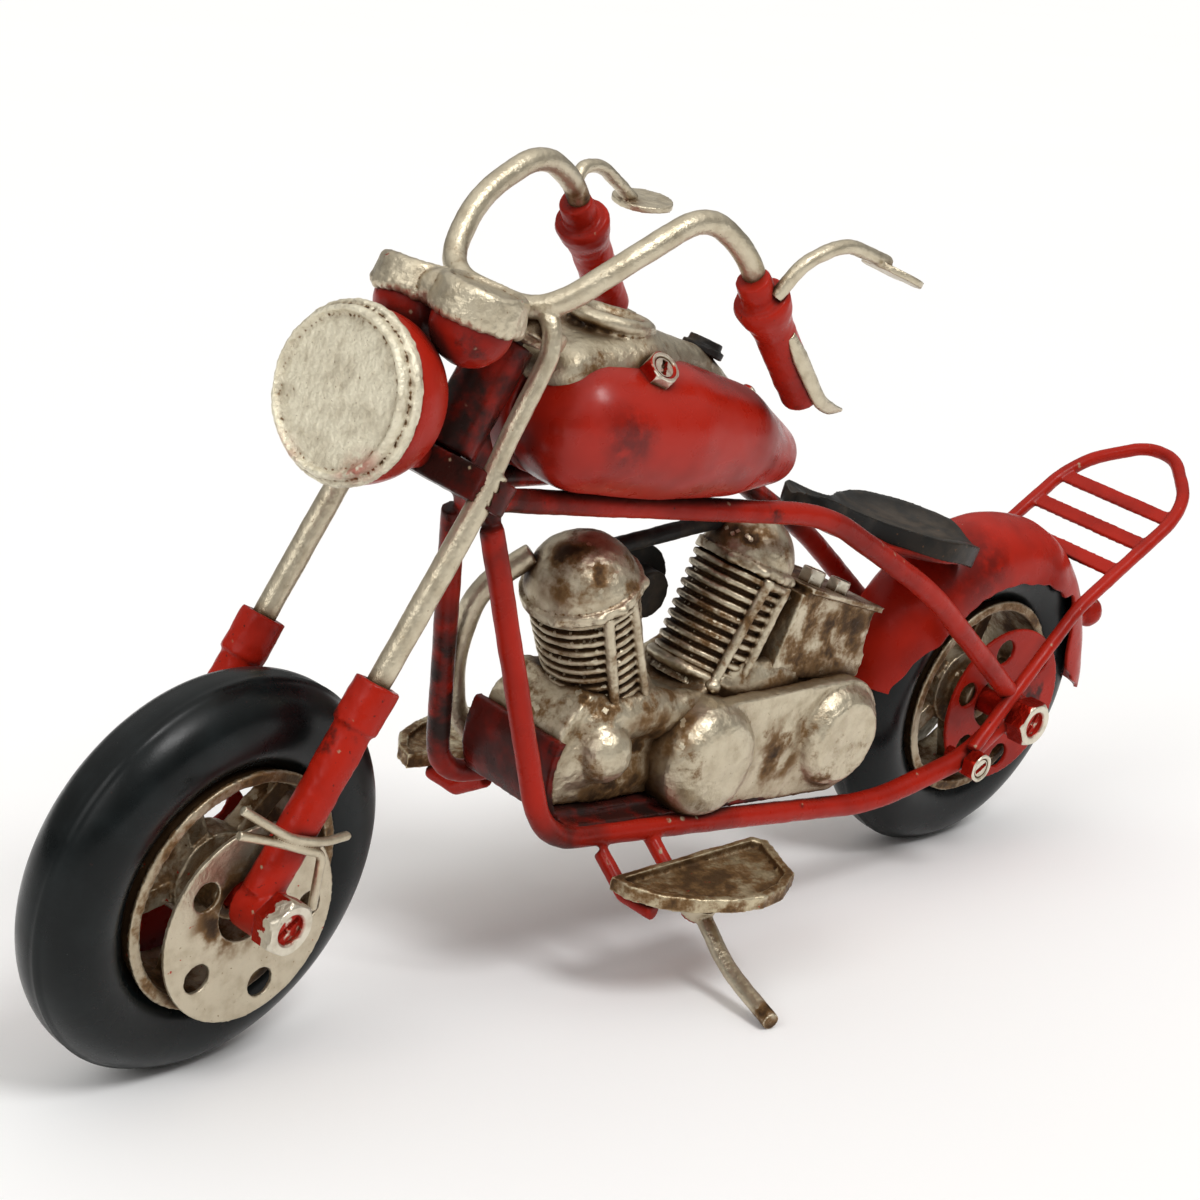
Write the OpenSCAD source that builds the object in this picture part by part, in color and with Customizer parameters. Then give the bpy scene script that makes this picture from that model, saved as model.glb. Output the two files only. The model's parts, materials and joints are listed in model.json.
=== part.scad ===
// Tin motorcycle: a hand-made free-rolling chopper that leans on its side stand.
// The bike frame of reference has +X forward, +Y to the rider's left and +Z up from the ground below
// the rear axle. Every node is drawn there and then leaned over onto its stand by stand_on_floor().

/* [Wheels] */
// Outer radius of both tyres
wheel_r = 32.5; // [32:0.1:33]
// Distance between the axles
wheelbase = 180.7; // [179:0.1:182]
// Radius of the round tyre section
tyre_section_r = 7.5; // [7:0.1:7.6]
// Radius of the rim bed that the tyre sits on
rim_bed_r = 19; // [18.8:0.1:19.2]
// Number of spokes in each wheel
spoke_count = 5; // [3:1:8]

/* [Fasteners] */
// Radius of the two axle bolts
axle_r = 2.5; // [2.4:0.05:2.6]
// Radial running clearance on each axle, the stem and the stand pin
running_gap = 0.05; // [0.02:0.01:0.1]
// Across-corners radius of the axle nuts
nut_corner_r = 4.62; // [4.4:0.01:4.8]
// Length of an axle nut
nut_len = 4; // [3.5:0.1:4.5]

/* [Steering] */
// Rake of the steering axis from the vertical, in degrees
rake = 28; // [27.5:0.1:28.5]
// Forward offset of the front axle from the steering axis
axle_offset = 1.5; // [1:0.1:2]
// Forward offset of the fork tubes from the steering axis
fork_offset = 2.8; // [2.5:0.1:3]
// Distance of each fork tube from the middle
fork_half_gap = 12.5; // [12.3:0.1:12.8]
// Radius of the fork tubes and the handlebar
bar_r = 1.9; // [1.7:0.05:2]
// How far the fork is turned to the left, in degrees
steer = 5.4; // [0:0.1:8]

/* [Stance] */
// Lean of the whole bike onto its side stand, in degrees
lean = 9; // [8.8:0.1:9.2]

/* [Frame] */
// Radius of the main frame tubes
tube_r = 2; // [1.8:0.05:2.1]
// Distance of the dropout eyes from the middle
dropout_y = 15.5; // [15.3:0.1:15.8]

/* [Hidden] */
$fn = 64;
// Where the middle of the leaned object's box lies
centre_x = 78.63;
centre_y = 6.36;
// Ground rises by this much under a leaned round tyre
lift = tyre_section_r * (1 - cos(lean));
// The steering axis meets the ground here, and its point nearest the front axle
axis_ground_x = wheelbase - axle_offset / cos(rake) + wheel_r * tan(rake);
axis_foot_s = (wheelbase - axis_ground_x) * -sin(rake) + wheel_r * cos(rake);
fork_foot = [axis_ground_x - axis_foot_s * sin(rake), 0, axis_foot_s * cos(rake)];
tyre_ring_r = wheel_r - tyre_section_r;
rod_sides = 16;
bend_steps = 6;

// ---- Placing ----

module stand_on_floor() {
    translate([-centre_x, -centre_y, lift]) rotate([-lean, 0, 0]) children();
}

// Fork space: +Z up the steering axis, +X square to it and forward, level with the front axle
module on_fork() {
    stand_on_floor() translate(fork_foot) rotate([0, -rake, 0]) rotate([0, 0, steer]) children();
}

module at_front_axle() {
    on_fork() translate([axle_offset, 0, 0]) children();
}

module at_rear_axle() {
    stand_on_floor() translate([0, 0, wheel_r]) children();
}

// Left side for side = 1, right side for side = -1
module mirrored(side) {
    mirror([0, side < 0 ? 1 : 0, 0]) children();
}

module both_sides() {
    children();
    mirror([0, 1, 0]) children();
}

// A cylinder along +Y from y to y + h
module y_cylinder(y, h, r) {
    translate([0, y, 0]) rotate([-90, 0, 0]) cylinder(h = h, r = r);
}

// A cylinder from point a to point b
module strut(a, b, r) {
    v = b - a;
    translate(a) rotate([0, acos(v.z / norm(v)), atan2(v.y, v.x)]) cylinder(h = norm(v), r = r);
}

// ---- Bent rods ----

function unit(v) = v / norm(v);

function corner(a, p, b, bend) =
    let (
        reach = min(bend, 0.45 * norm(a - p), 0.45 * norm(b - p)),
        from = p + reach * unit(a - p),
        to = p + reach * unit(b - p)
    )
    [for (i = [0 : bend_steps]) let (t = i / bend_steps)
        (1 - t) * (1 - t) * from + 2 * t * (1 - t) * p + t * t * to];

function rounded_path(points, bend) = [
    points[0],
    for (i = [1 : len(points) - 2]) each corner(points[i - 1], points[i], points[i + 1], bend),
    points[len(points) - 1]
];

function tangent(path, i) =
    unit(path[min(i + 1, len(path) - 1)] - path[max(i - 1, 0)]);

// A round rod along points with rounded corners; side_on is a direction the rod never runs along
module bent_rod(points, r, bend = 8, side_on = [0, 1, 0], sides = rod_sides) {
    path = rounded_path(points, bend);
    rings = [for (i = [0 : len(path) - 1])
        let (t = tangent(path, i), n = unit(side_on - (side_on * t) * t), m = cross(t, n))
        for (k = [0 : sides - 1]) path[i] + r * (cos(360 * k / sides) * n + sin(360 * k / sides) * m)];
    last = (len(path) - 1) * sides;
    walls = [for (i = [0 : len(path) - 2], k = [0 : sides - 1])
        let (a = i * sides + k, b = i * sides + (k + 1) % sides)
        each [[a, b + sides, b], [a, a + sides, b + sides]]];
    caps = [[for (k = [0 : sides - 1]) k], [for (k = [sides - 1 : -1 : 0]) last + k]];
    polyhedron(points = rings, faces = concat(walls, caps), convexity = 6);
}

// ---- Frame ----

module head_tube() {
    color("firebrick") stand_on_floor() difference() {
        union() {
            translate(fork_foot) rotate([0, -rake, 0]) translate([0, 0, 72.4]) cylinder(h = 18.7, r = 4.6);
            hull() both_sides() {
                translate([136.5, 3.2, 84.5]) sphere(r = 1.6, $fn = 24);
                translate([137.4, 3.2, 88.5]) sphere(r = 1.6, $fn = 24);
                translate([142.8, 1.5, 98.2]) sphere(r = 1.5, $fn = 24);
                translate([141.5, 1.5, 100.5]) sphere(r = 1.5, $fn = 24);
            }
        }
        translate(fork_foot) rotate([0, -rake, 0]) translate([0, 0, 60])
            cylinder(h = 40, r = axle_r + running_gap);
    }
}

cradle_path = [
    [137.4, 4.4, 83.6], [122.6, 13, 30.7], [78, 13.8, 25.8], [38, 14.6, 20.9],
    [14.5, 16.5, 26.2], [3, 15.5, 31.5]
];
top_path = [[139, 4.4, 88.4], [67.5, 13, 80.6], [36, 15.5, 63], [1.6, 15.5, 36.4]];

// One side's lower loop, from the neck round the engine to the dropout eye
module cradle_tube(side) {
    color("firebrick") stand_on_floor() mirrored(side) difference() {
        union() {
            bent_rod(cradle_path, tube_r, side_on = [0, 1, 0]);
            translate([0, 0, wheel_r]) y_cylinder(dropout_y - 1.7, 3.4, 4.1);
        }
        translate([0, 0, wheel_r]) y_cylinder(0, 30, axle_r);
    }
}

module top_tube(side) {
    color("firebrick") stand_on_floor() mirrored(side) difference() {
        bent_rod(top_path, tube_r, side_on = [0, 1, 0]);
        translate([0, 0, wheel_r]) y_cylinder(0, 30, 4.15);
    }
}

// An axle bolt with a nut run onto each end; the bolt stops short inside both nuts
module axle(nut_y) {
    y_cylinder(-nut_y - 2.4, 2 * nut_y + 4.8, axle_r);
    both_sides() difference() {
        translate([0, nut_y, 0]) rotate([-90, 30, 0]) cylinder(h = nut_len, r = nut_corner_r, $fn = 6);
        y_cylinder(nut_y + 2, 10, axle_r);
    }
}

module rear_axle() {
    color("silver") at_rear_axle() axle(17.2);
}

module hex_head(r, h) {
    cylinder(h = h, r = r, $fn = 6);
}

// Two stay bolts, two tank nuts, two oil tank bolts and the console screw
module frame_bolts() {
    color("silver") stand_on_floor() {
        both_sides() translate([14.5, 18.6, 26.2]) rotate([-90, 0, 0]) {
            hex_head(3.1, 2.6);
            translate([0, 0, -5.6]) cylinder(h = 5.6, r = 1.2);
        }
        both_sides() translate([114.8, 9.6, 107]) rotate([-42, 0, 0]) hex_head(3, 4.8);
        translate([57.5, 5, 63.6]) rotate([0, -18, 0]) hex_head(2.4, 2.6);
        translate([51.5, 6.5, 61.6]) rotate([0, -18, 0]) hex_head(2.2, 2.4);
        translate([82.6, 0, 97.2]) rotate([0, -70, 0]) cylinder(h = 5, r = 1.7);
    }
}

// ---- Engine ----

crankcase_half = 10.5;
front_base = [102.7, 1, 49];
front_tilt = 22.8;
rear_base = [78.9, 1, 49.5];
rear_tilt = -21.8;

module crankcase() {
    color("silver") stand_on_floor() {
        rotate([90, 0, 0]) linear_extrude(2 * crankcase_half, center = true)
            polygon([[117.5, 34], [119, 40], [118, 47], [112.5, 54], [98, 50.5], [88, 48.5],
                     [74, 54], [63, 48], [46, 45], [42.5, 40], [43, 29], [62, 28.5]]);
        translate([111, crankcase_half - 0.4, 43]) sphere(r = 4.9);
    }
}

// The sheet below the engine, curled up round the front of the crankcase
module engine_tray() {
    color("firebrick") stand_on_floor() rotate([90, 0, 0]) linear_extrude(21, center = true) {
        polygon([[117.6, 32.5], [117.6, 33.6], [62, 28.2], [62, 27.2]]);
        intersection() {
            translate([106, 40]) difference() {
                circle(r = 14.6);
                circle(r = 13.2);
            }
            translate([115.5, 32.5]) square([8, 13.5]);
        }
    }
}

front_fins = 11;
rear_fins = 10;
fin_pitch = 1.9;

// A finned barrel standing on the crankcase, with its two pushrod tubes on the left
module barrel(core_r, fin_r, fins) {
    cylinder(h = fins * fin_pitch, r = core_r);
    for (i = [0 : fins - 1])
        translate([0, 0, 0.5 + i * fin_pitch]) cylinder(h = 1, r = fin_r + 0.1 * i);
    for (x = [-3.4, 3.4])
        strut([x, fin_r - 0.4, -1.5], [x * 0.8, fin_r + 0.4, fins * fin_pitch], 0.9);
}

module front_cylinder() {
    color("silver") stand_on_floor() translate(front_base) rotate([0, front_tilt, 0]) barrel(7.2, 7.8, front_fins);
}

module rear_cylinder() {
    color("silver") stand_on_floor() translate(rear_base) rotate([0, rear_tilt, 0]) barrel(6.9, 7.4, rear_fins);
}

// Rocker cover: a flange ring under a dome whose sphere is sunk into the flange
module dome(r, sunk) {
    cylinder(h = 1.8, r = r + 0.7);
    translate([0, 0, 1.8]) intersection() {
        translate([0, 0, -sunk]) sphere(r = r);
        cylinder(h = r, r = r);
    }
}

module front_dome() {
    color("silver") stand_on_floor() translate(front_base) rotate([0, front_tilt, 0])
        translate([0, 0, front_fins * fin_pitch]) dome(9.6, 1.4);
}

module rear_dome() {
    color("silver") stand_on_floor() translate(rear_base) rotate([0, rear_tilt, 0])
        translate([0, 0, rear_fins * fin_pitch]) dome(8.2, 0);
}

primary_front = [85.4, 38.2];
primary_rear = [51.4, 36.4];

// The cover over the primary drive, with a round boss at each end
module primary_cover() {
    color("silver") stand_on_floor() {
        hull() {
            translate([primary_front.x, 0, primary_front.y]) y_cylinder(crankcase_half, 3, 9.9);
            translate([primary_rear.x, 0, primary_rear.y]) y_cylinder(crankcase_half, 3, 11);
        }
        translate([primary_front.x, 0, primary_front.y]) {
            y_cylinder(crankcase_half + 3, 1.5, 7.4);
            y_cylinder(crankcase_half + 4.5, 1, 6.4);
        }
        translate([primary_rear.x, 0, primary_rear.y]) {
            y_cylinder(crankcase_half + 3, 2, 8.6);
            y_cylinder(crankcase_half + 5, 1, 7.6);
        }
    }
}

// Round carburettor on the right of the V, with the pipe that joins the two heads
module carburettor() {
    color("dimgray") stand_on_floor() {
        translate([89.2, 0, 62.5]) {
            y_cylinder(-12, 5, 7.6);
            y_cylinder(-7, 4, 4.2);
        }
        strut([103, -2.5, 73], [75, -2.5, 75], 1.5);
    }
}

module oil_tank() {
    color("silver") stand_on_floor() {
        rotate([90, 0, 0]) linear_extrude(19, center = true)
            polygon([[44, 45.2], [61, 47.6], [62.5, 64.2], [43, 58]]);
        rotate([90, 0, 0]) linear_extrude(21, center = true)
            polygon([[63, 64.3], [62.8, 65.3], [41.6, 58.6], [41.9, 57.6]]);
    }
}

// Pipe from the front head, down between the tubes and back to a silencer on the right
module exhaust() {
    color("silver") stand_on_floor() {
        bent_rod([[118.5, -4, 73.5], [125, -8.5, 66.5], [124.6, -11.8, 53], [118, -15.5, 39],
                  [104, -18, 30], [70, -18.8, 28.6]], 2, bend = 9, side_on = [0, 0.8, -0.6]);
        translate([71, -18.8, 28.6]) rotate([0, -90, 0]) {
            cylinder(h = 5, r1 = 2.6, r2 = 4.2);
            translate([0, 0, 5]) cylinder(h = 34, r = 4.2);
            translate([0, 0, 39]) cylinder(h = 4, r1 = 4.2, r2 = 3);
        }
    }
}

// ---- Tank and seat ----

// One pressed half of the teardrop tank
module tank_half(side) {
    color("firebrick") stand_on_floor() mirrored(side) intersection() {
        hull() {
            translate([122.5, 5.5, 99.6]) sphere(r = 11, $fn = 36);
            translate([108, 7.5, 98]) sphere(r = 11.3, $fn = 36);
            translate([93, 7.5, 95]) sphere(r = 9.6, $fn = 36);
            translate([77.8, 5.5, 90.2]) sphere(r = 5.4, $fn = 36);
            translate([122.5, -5.5, 99.6]) sphere(r = 11, $fn = 36);
            translate([77.8, -5.5, 90.2]) sphere(r = 5.4, $fn = 36);
        }
        translate([60, 0.1, 80]) cube([90, 40, 45]);
    }
}

// The cast saddle on top of the tank, with its raised gauge ring
module tank_console() {
    color("silver") stand_on_floor() {
        hull() {
            both_sides() {
                translate([127, 4.5, 108]) sphere(r = 4.6, $fn = 32);
                translate([114, 4.5, 108]) sphere(r = 6, $fn = 32);
            }
            translate([95, 0, 104.4]) sphere(r = 4.2, $fn = 32);
            translate([84.5, 0, 98.2]) sphere(r = 2.8, $fn = 32);
        }
        translate([115, 0, 114.2]) rotate([0, -10, 0])
            rotate_extrude() translate([6, 0]) circle(r = 1.3);
    }
}

module filler_cap() {
    color("dimgray") stand_on_floor() translate([92.5, 0, 106.9]) rotate([0, -22, 0]) {
        cylinder(h = 1.2, r = 3.6);
        translate([0, 0, 1.2]) cylinder(h = 1.2, r = 2.9);
    }
}

// Seat space: on top of the rear fender, dropping towards the back
module on_seat() {
    stand_on_floor() translate([28, 0, 66.2]) rotate([0, -8, 0]) children();
}

// A broad round rear joined to a narrow rising nose
module seat_plate(z, h, inset) {
    hull() {
        translate([0, 0, z]) cylinder(h = h, r = 14 - inset);
        translate([15, 0, z + 1]) cylinder(h = h, r = 8.5 - inset);
    }
    hull() {
        translate([15, 0, z + 1]) cylinder(h = h, r = 8.5 - inset);
        translate([31, 0, z + 5]) cylinder(h = h, r = 4.5 - inset);
    }
}

module seat_pad() {
    color("dimgray") on_seat() seat_plate(0.8, 3.2, 0);
}

module seat_pan() {
    color("firebrick") on_seat() seat_plate(0, 0.8, 0.8);
}

// ---- Rear fender and rack ----

fender_start = 12;
fender_sweep = 173;
fender_section_r = 9.5;
fender_ring_r = 25.5;
fender_wall = 0.9;
skirt_depth = 0.9;

module rear_fender() {
    color("firebrick") at_rear_axle() rotate([90, 0, 0]) rotate([0, 0, fender_start])
        rotate_extrude(angle = fender_sweep) translate([fender_ring_r, 0]) difference() {
            union() {
                circle(r = fender_section_r);
                translate([-skirt_depth, -fender_section_r]) square([skirt_depth, 2 * fender_section_r]);
            }
            circle(r = fender_section_r - fender_wall);
            translate([-20, -fender_section_r + fender_wall])
                square([20, 2 * (fender_section_r - fender_wall)]);
            translate([-20 - skirt_depth, -20]) square([20, 40]);
        }
}

module tail_lamp() {
    color("firebrick") at_rear_axle() rotate([0, -78, 0]) translate([0, 0, 35]) {
        cylinder(h = 7, r = 1.8);
        translate([0, 0, 7.8]) sphere(r = 3.2);
    }
}

rack_half = 13.8;
rack_side = [[15, 18.4, 29], [-16, rack_half, 51.5], [-42, rack_half, 66.4], [-48, 11.5, 70],
             [-54.5, 3.5, 74.5]];

// One rod: up from the left stay bolt, round the rack and down to the right stay bolt
module rack_rod() {
    color("firebrick") stand_on_floor() bent_rod(
        concat(rack_side, [for (i = [len(rack_side) - 1 : -1 : 0])
            [rack_side[i].x, -rack_side[i].y, rack_side[i].z]]),
        1.35, bend = 4, side_on = [0.5, 0, -0.87], sides = 12);
}

module rack_slats() {
    color("firebrick") stand_on_floor()
        for (i = [1 : 3]) translate([-19 - 7.6 * i, 0, 53.2 + 4.36 * i]) rotate([0, 29.8, 0])
            cube([3.4, 2 * rack_half - 2, 0.9], center = true);
}

// ---- Footboards and stand ----

footboard_z = 23.2;
// The right board sits turned out at its front end
right_board_splay = 12;
right_board_shift = 3;

module footboard(side) {
    color("silver") stand_on_floor() mirrored(side)
        translate([77 + (side < 0 ? right_board_shift : 0), 20.6, footboard_z])
        rotate([0, 0, side < 0 ? right_board_splay : 0]) translate([-77, -20.6, 0]) difference() {
        linear_extrude(2.6) polygon([[112.6, 20.6], [112.2, 24.8], [109.4, 29.6], [104.6, 33.2],
                                     [99, 36], [93, 37.4], [87, 36.4], [81.8, 33.8], [76.9, 23],
                                     [78.6, 20.6]]);
        translate([0, 0, 1.2]) linear_extrude(3) polygon([[111, 22], [110.7, 24.4], [108.2, 28.5],
                                     [103.8, 31.8], [98.5, 34.5], [93, 35.8], [87.7, 34.9],
                                     [83, 32.6], [78.8, 23.2], [79.4, 22]]);
    }
}

// Two short bars a side, from the lower frame tube down to the underside of the footboard
module footboard_bars() {
    color("firebrick") stand_on_floor() both_sides() for (x = [97, 109]) {
        strut([x, 14.2, 26.4], [x, 21, footboard_z - 1.4], 1.4);
        strut([x, 21, footboard_z - 1.4], [x, 28, footboard_z - 1.4], 1.4);
        translate([x, 21, footboard_z - 1.4]) sphere(r = 1.4);
    }
}

stand_pivot = [92.4, 24, 18.4];
// Tilt of the stand's pivot pin from the vertical, towards the left
pin_tilt = 24;
pin_r = 1.3;

module at_stand_pivot() {
    stand_on_floor() translate(stand_pivot) rotate([-pin_tilt, 0, 0]) children();
}

// A tab under the footboard bar that carries the riveted pin
module stand_bracket() {
    color("firebrick") {
        at_stand_pivot() {
            translate([0, 0, 0.3]) cylinder(h = 1.8, r = 3.4);
            translate([0, 0, -3.2]) cylinder(h = 4, r = pin_r);
            translate([0, 0, -3.9]) cylinder(h = 0.8, r = 2.3);
        }
        stand_on_floor() hull() {
            translate([91, 22.6, 19.6]) cube([3, 3, 0.6]);
            translate([90, 21.5, footboard_z - 1]) cube([5, 5, 1]);
        }
    }
}

stand_tip = [97.8, 47.6, 8.9];

module kickstand() {
    color("silver") {
        stand_on_floor() difference() {
            bent_rod([[92.6, 25.4, 15.6], [94, 33.4, 10.6], stand_tip], 1.5, bend = 5,
                     side_on = [1, 0, 0], sides = 12);
            translate(stand_pivot) rotate([-pin_tilt, 0, 0]) translate([0, 0, -5])
                cylinder(h = 10, r = 2.6);
        }
        at_stand_pivot() translate([0, 0, -2.8]) difference() {
            cylinder(h = 2.8, r = 3.2);
            translate([0, 0, -1]) cylinder(h = 5, r = pin_r + running_gap);
        }
    }
}

// ---- Fork ----

yoke_z = 67;
yoke_h = 5;
upper_yoke_z = 92.6;
fork_bore_z = 26;

module fork_holes() {
    both_sides() translate([fork_offset, fork_half_gap, 0]) cylinder(h = 120, r = bar_r);
}

// Stem pressed into the lower yoke
module steering_stem() {
    color("firebrick") on_fork() {
        translate([0, 0, yoke_z]) cylinder(h = upper_yoke_z + 3 - yoke_z, r = axle_r);
        difference() {
            hull() both_sides() translate([1.2, 11, yoke_z]) cylinder(h = yoke_h, r = 4.1, $fn = 32);
            fork_holes();
            translate([0, 0, yoke_z - 1]) cylinder(h = yoke_h + 2, r = axle_r);
        }
    }
}

module upper_yoke() {
    color("silver") on_fork() difference() {
        union() {
            hull() both_sides() translate([2, 6, upper_yoke_z]) cylinder(h = 2.6, r = 4.4, $fn = 32);
            translate([0, -7, upper_yoke_z - 1]) cube([12.4, 14, 1.6]);
        }
        translate([0, 0, 60]) cylinder(h = 60, r = axle_r);
    }
}

// A tube up to the lower yoke, then a thinner rod that curls in to meet the handlebar
module fork_tube(side) {
    color("silver") on_fork() mirrored(side) {
        translate([fork_offset, fork_half_gap, fork_bore_z]) cylinder(h = 46.5, r = bar_r);
        bent_rod([[3.2, 12.4, 70], [4, 12.2, 78], [4.4, 11.8, 91], [5.6, 10.8, 94.8], [6.6, 8, 97]],
                 1.55, bend = 3, side_on = [1, 0.2, 0], sides = 12);
    }
}

module slider(side) {
    color("firebrick") on_fork() mirrored(side) difference() {
        union() {
            translate([fork_offset, fork_half_gap, 2]) cylinder(h = 29, r = 3.1);
            translate([fork_offset, fork_half_gap, 30]) cylinder(h = 7.2, r = 3.6);
            translate([axle_offset, 0, 0]) y_cylinder(10.2, 5.6, 4);
        }
        translate([fork_offset, fork_half_gap, fork_bore_z]) cylinder(h = 20, r = bar_r);
        translate([axle_offset, 0, 0]) y_cylinder(0, 30, axle_r);
    }
}

// Wires soldered across the outside of the sliders, two on the left and one on the right
module brake_wires() {
    color("silver") on_fork() {
        bent_rod([[19, 14.6, 13.2], [13, 15.8, 12.5], [8, 16.3, 12], [1, 16.3, 13], [-5, 15.4, 15.2]],
                 0.75, bend = 4, side_on = [0, 1, 0], sides = 10);
        both_sides() bent_rod([[17, 14.6, 9.6], [11, 15.8, 10.7], [5.3, 16.3, 11.1],
                               [-0.4, 16.3, 11.5], [-2.3, 16, 8.7], [-7, 14.8, 3]],
                              0.75, bend = 2, side_on = [0, 1, 0], sides = 10);
    }
}

// Headlight space: +Z out through the face
module on_headlight() {
    on_fork() translate([26, 0, 71.7]) rotate([0, 90 + rake - 12, 0]) children();
}

module headlight_shell() {
    color("firebrick") {
        on_headlight() rotate_extrude() difference() {
            intersection() {
                translate([0, -2]) circle(r = 12.9);
                translate([0, -15]) square([20, 14]);
            }
            intersection() {
                translate([0, -2]) circle(r = 11.7);
                translate([0, -15]) square([20, 15]);
            }
        }
        on_fork() strut([5, 0, 69.5], [12.4, 0, 70.5], 2.4);
    }
}

module headlight_face() {
    color("silver") on_headlight() rotate_extrude()
        polygon([[0, -1], [13.1, -1], [13.4, 0.4], [13.1, 2.2], [12, 2.8], [11.4, 2.2], [0, 2.4]]);
}

// Middle of each gauge lid's underside
gauge_places = [[18.4, 7, 91], [17, -5.5, 90.4]];
// How each gauge leans out to its side and tips forward
gauge_turns = [[-2, 16, 0], [5, 12, 0]];
gauge_bowl_r = 6.2;
// Height of a bowl's straight wall, above its round bottom
gauge_wall = 2.2;

module on_gauges() {
    on_fork() for (i = [0 : len(gauge_places) - 1])
        translate(gauge_places[i]) rotate(gauge_turns[i]) children();
}

module gauge_bowls() {
    color("firebrick") on_gauges() rotate_extrude() union() {
        translate([0, -gauge_wall]) square([gauge_bowl_r, gauge_wall]);
        intersection() {
            translate([0, -gauge_wall]) circle(r = gauge_bowl_r);
            translate([0, -12]) square([8, 12 - gauge_wall / 2]);
        }
    }
}

module gauge_lids() {
    color("silver") on_gauges() cylinder(h = 3.4, r1 = 7.4, r2 = 6.8);
}

bar_side = [[7.2, 9, 95.4], [2.4, 14.6, 109.2], [-6.5, 16.2, 121.8], [-19, 17.8, 120.8],
            [-28.6, 19, 115.4], [-36, 19.2, 112.8]];
grip_top = [-25.8, 18.9, 116.6];
grip_end = [-49.3, 19.7, 108.7];

// The right hand side of the bar is bent a little lower and further forward
right_bend = [[0, 2, 0], [1, 1.2, -1], [1, 0, -1.5], [0, 0, -0.6], [0, 0, 0], [0, 0, 0]];
right_side = [for (i = [0 : len(bar_side) - 1])
    let (p = bar_side[i] + right_bend[i]) [p.x, -p.y, p.z]];

module handlebar() {
    color("silver") on_fork() bent_rod(
        concat([for (i = [len(bar_side) - 1 : -1 : 0]) right_side[i]], bar_side),
        bar_r, bend = 9, side_on = [0.5, 0, 0.87]);
}

module grip(side, splay) {
    end = grip_end + [0, splay, 0];
    along = unit(end - grip_top);
    color("firebrick") on_fork() mirrored(side) difference() {
        union() {
            strut(grip_top, end, 3.3);
            strut(grip_top, grip_top + 6 * along, 4.3);
        }
        bent_rod(bar_side, bar_r, bend = 9, side_on = [0.5, 0, 0.87]);
    }
}

// A flat blade along the outside of the grip that ends in a turned-out tip
module lever(side) {
    color("silver") on_fork() mirrored(side) {
        hull() {
            translate([-36, 22.4, 113]) sphere(r = 1.2, $fn = 24);
            translate([-48, 23, 109.6]) sphere(r = 1.3, $fn = 24);
        }
        hull() {
            translate([-48, 23, 109.6]) sphere(r = 1.3, $fn = 24);
            translate([-58, 22, 110.4]) sphere(r = 0.7, $fn = 24);
        }
    }
}

// Curved stalk from the grip collar with a round disc at its end, bent up by rise
module mirror_arm(side, tilt, rise) {
    disc_centre = [-46.4, 25, 129.2 + rise];
    color("silver") on_fork() mirrored(side) {
        bent_rod([[-25.4, 21.6, 117.6], [-24.8, 23.4, 124], [-31, 24.4, 128.4 + 0.7 * rise],
                  disc_centre + [2.8, 0, 0.8 - 2.8 * tan(tilt)]],
                 1.2, bend = 5, side_on = [0, 1, 0], sides = 12);
        translate(disc_centre) rotate([0, tilt, 0]) cylinder(h = 1.1, r = 5.3, center = true);
    }
}

module front_axle() {
    color("silver") at_front_axle() axle(15.8);
}

// ---- Wheels ----

module tyre() {
    rotate([90, 0, 0]) rotate_extrude() union() {
        translate([tyre_ring_r, 0]) circle(r = tyre_section_r);
        translate([rim_bed_r, -6.6]) square([4.5, 13.2]);
    }
}

// Cast wheel: rim ring, spokes and hub barrel in one
module wheel() {
    difference() {
        union() {
            rotate([90, 0, 0]) rotate_extrude() {
                translate([rim_bed_r - 1.2, -6.6]) square([1.2, 13.2]);
                for (y = [-7.4, 6.6]) translate([rim_bed_r - 1.2, y]) square([2, 0.8]);
            }
            for (i = [0 : spoke_count - 1]) rotate([0, 36 + 360 / spoke_count * i, 0])
                translate([3.5, -1.6, -1.9]) cube([rim_bed_r - 4.3, 3.2, 3.8]);
            y_cylinder(-2.6, 5.2, 7.5);
            y_cylinder(-hub_half, 2 * hub_half, 4.4);
        }
        y_cylinder(-20, 40, axle_r + running_gap);
    }
}

// A loose plate that hangs on the axle by a wide hole above its middle, its lower edge leaning outwards
module hanging_disc(r, holes, hole_ring_r, hole_r, first_hole) {
    translate([0, disc_y, -disc_drop]) rotate([disc_tilt, 0, 0]) difference() {
        y_cylinder(0, disc_h, r);
        translate([0, 0, disc_drop + axle_r - disc_eye_r]) y_cylinder(-1, disc_h + 2, disc_eye_r);
        for (i = [0 : holes - 1]) rotate([0, first_hole + 360 / holes * i, 0])
            translate([hole_ring_r, 0, 0]) y_cylinder(-1, disc_h + 2, hole_r);
    }
}

module silver_disc() {
    color("silver") hanging_disc(16.2, 5, 11.5, 2.4, 11);
}

module red_disc() {
    color("firebrick") hanging_disc(15.6, 6, 11.5, 2.5, 30);
}

hub_half = 7.8;
disc_y = 8.5;
disc_h = 0.8;
disc_drop = 5.7;
disc_eye_r = 5.2;
disc_tilt = 4;
// The front plates hang with their middle behind the steering axis
front_disc_turn = rake + 25;
// The red plate at the back is clamped with its middle behind the axle
rear_red_disc_turn = 72;

module front_tyre() {
    color("darkslategray") at_front_axle() tyre();
}

module front_wheel() {
    color("silver") at_front_axle() wheel();
}

module front_silver_disc() {
    at_front_axle() rotate([0, front_disc_turn, 0]) silver_disc();
}

module front_red_disc() {
    at_front_axle() rotate([0, front_disc_turn, 0]) mirror([0, 1, 0]) red_disc();
}

module rear_tyre() {
    color("darkslategray") at_rear_axle() tyre();
}

module rear_wheel() {
    color("silver") at_rear_axle() wheel();
}

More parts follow.
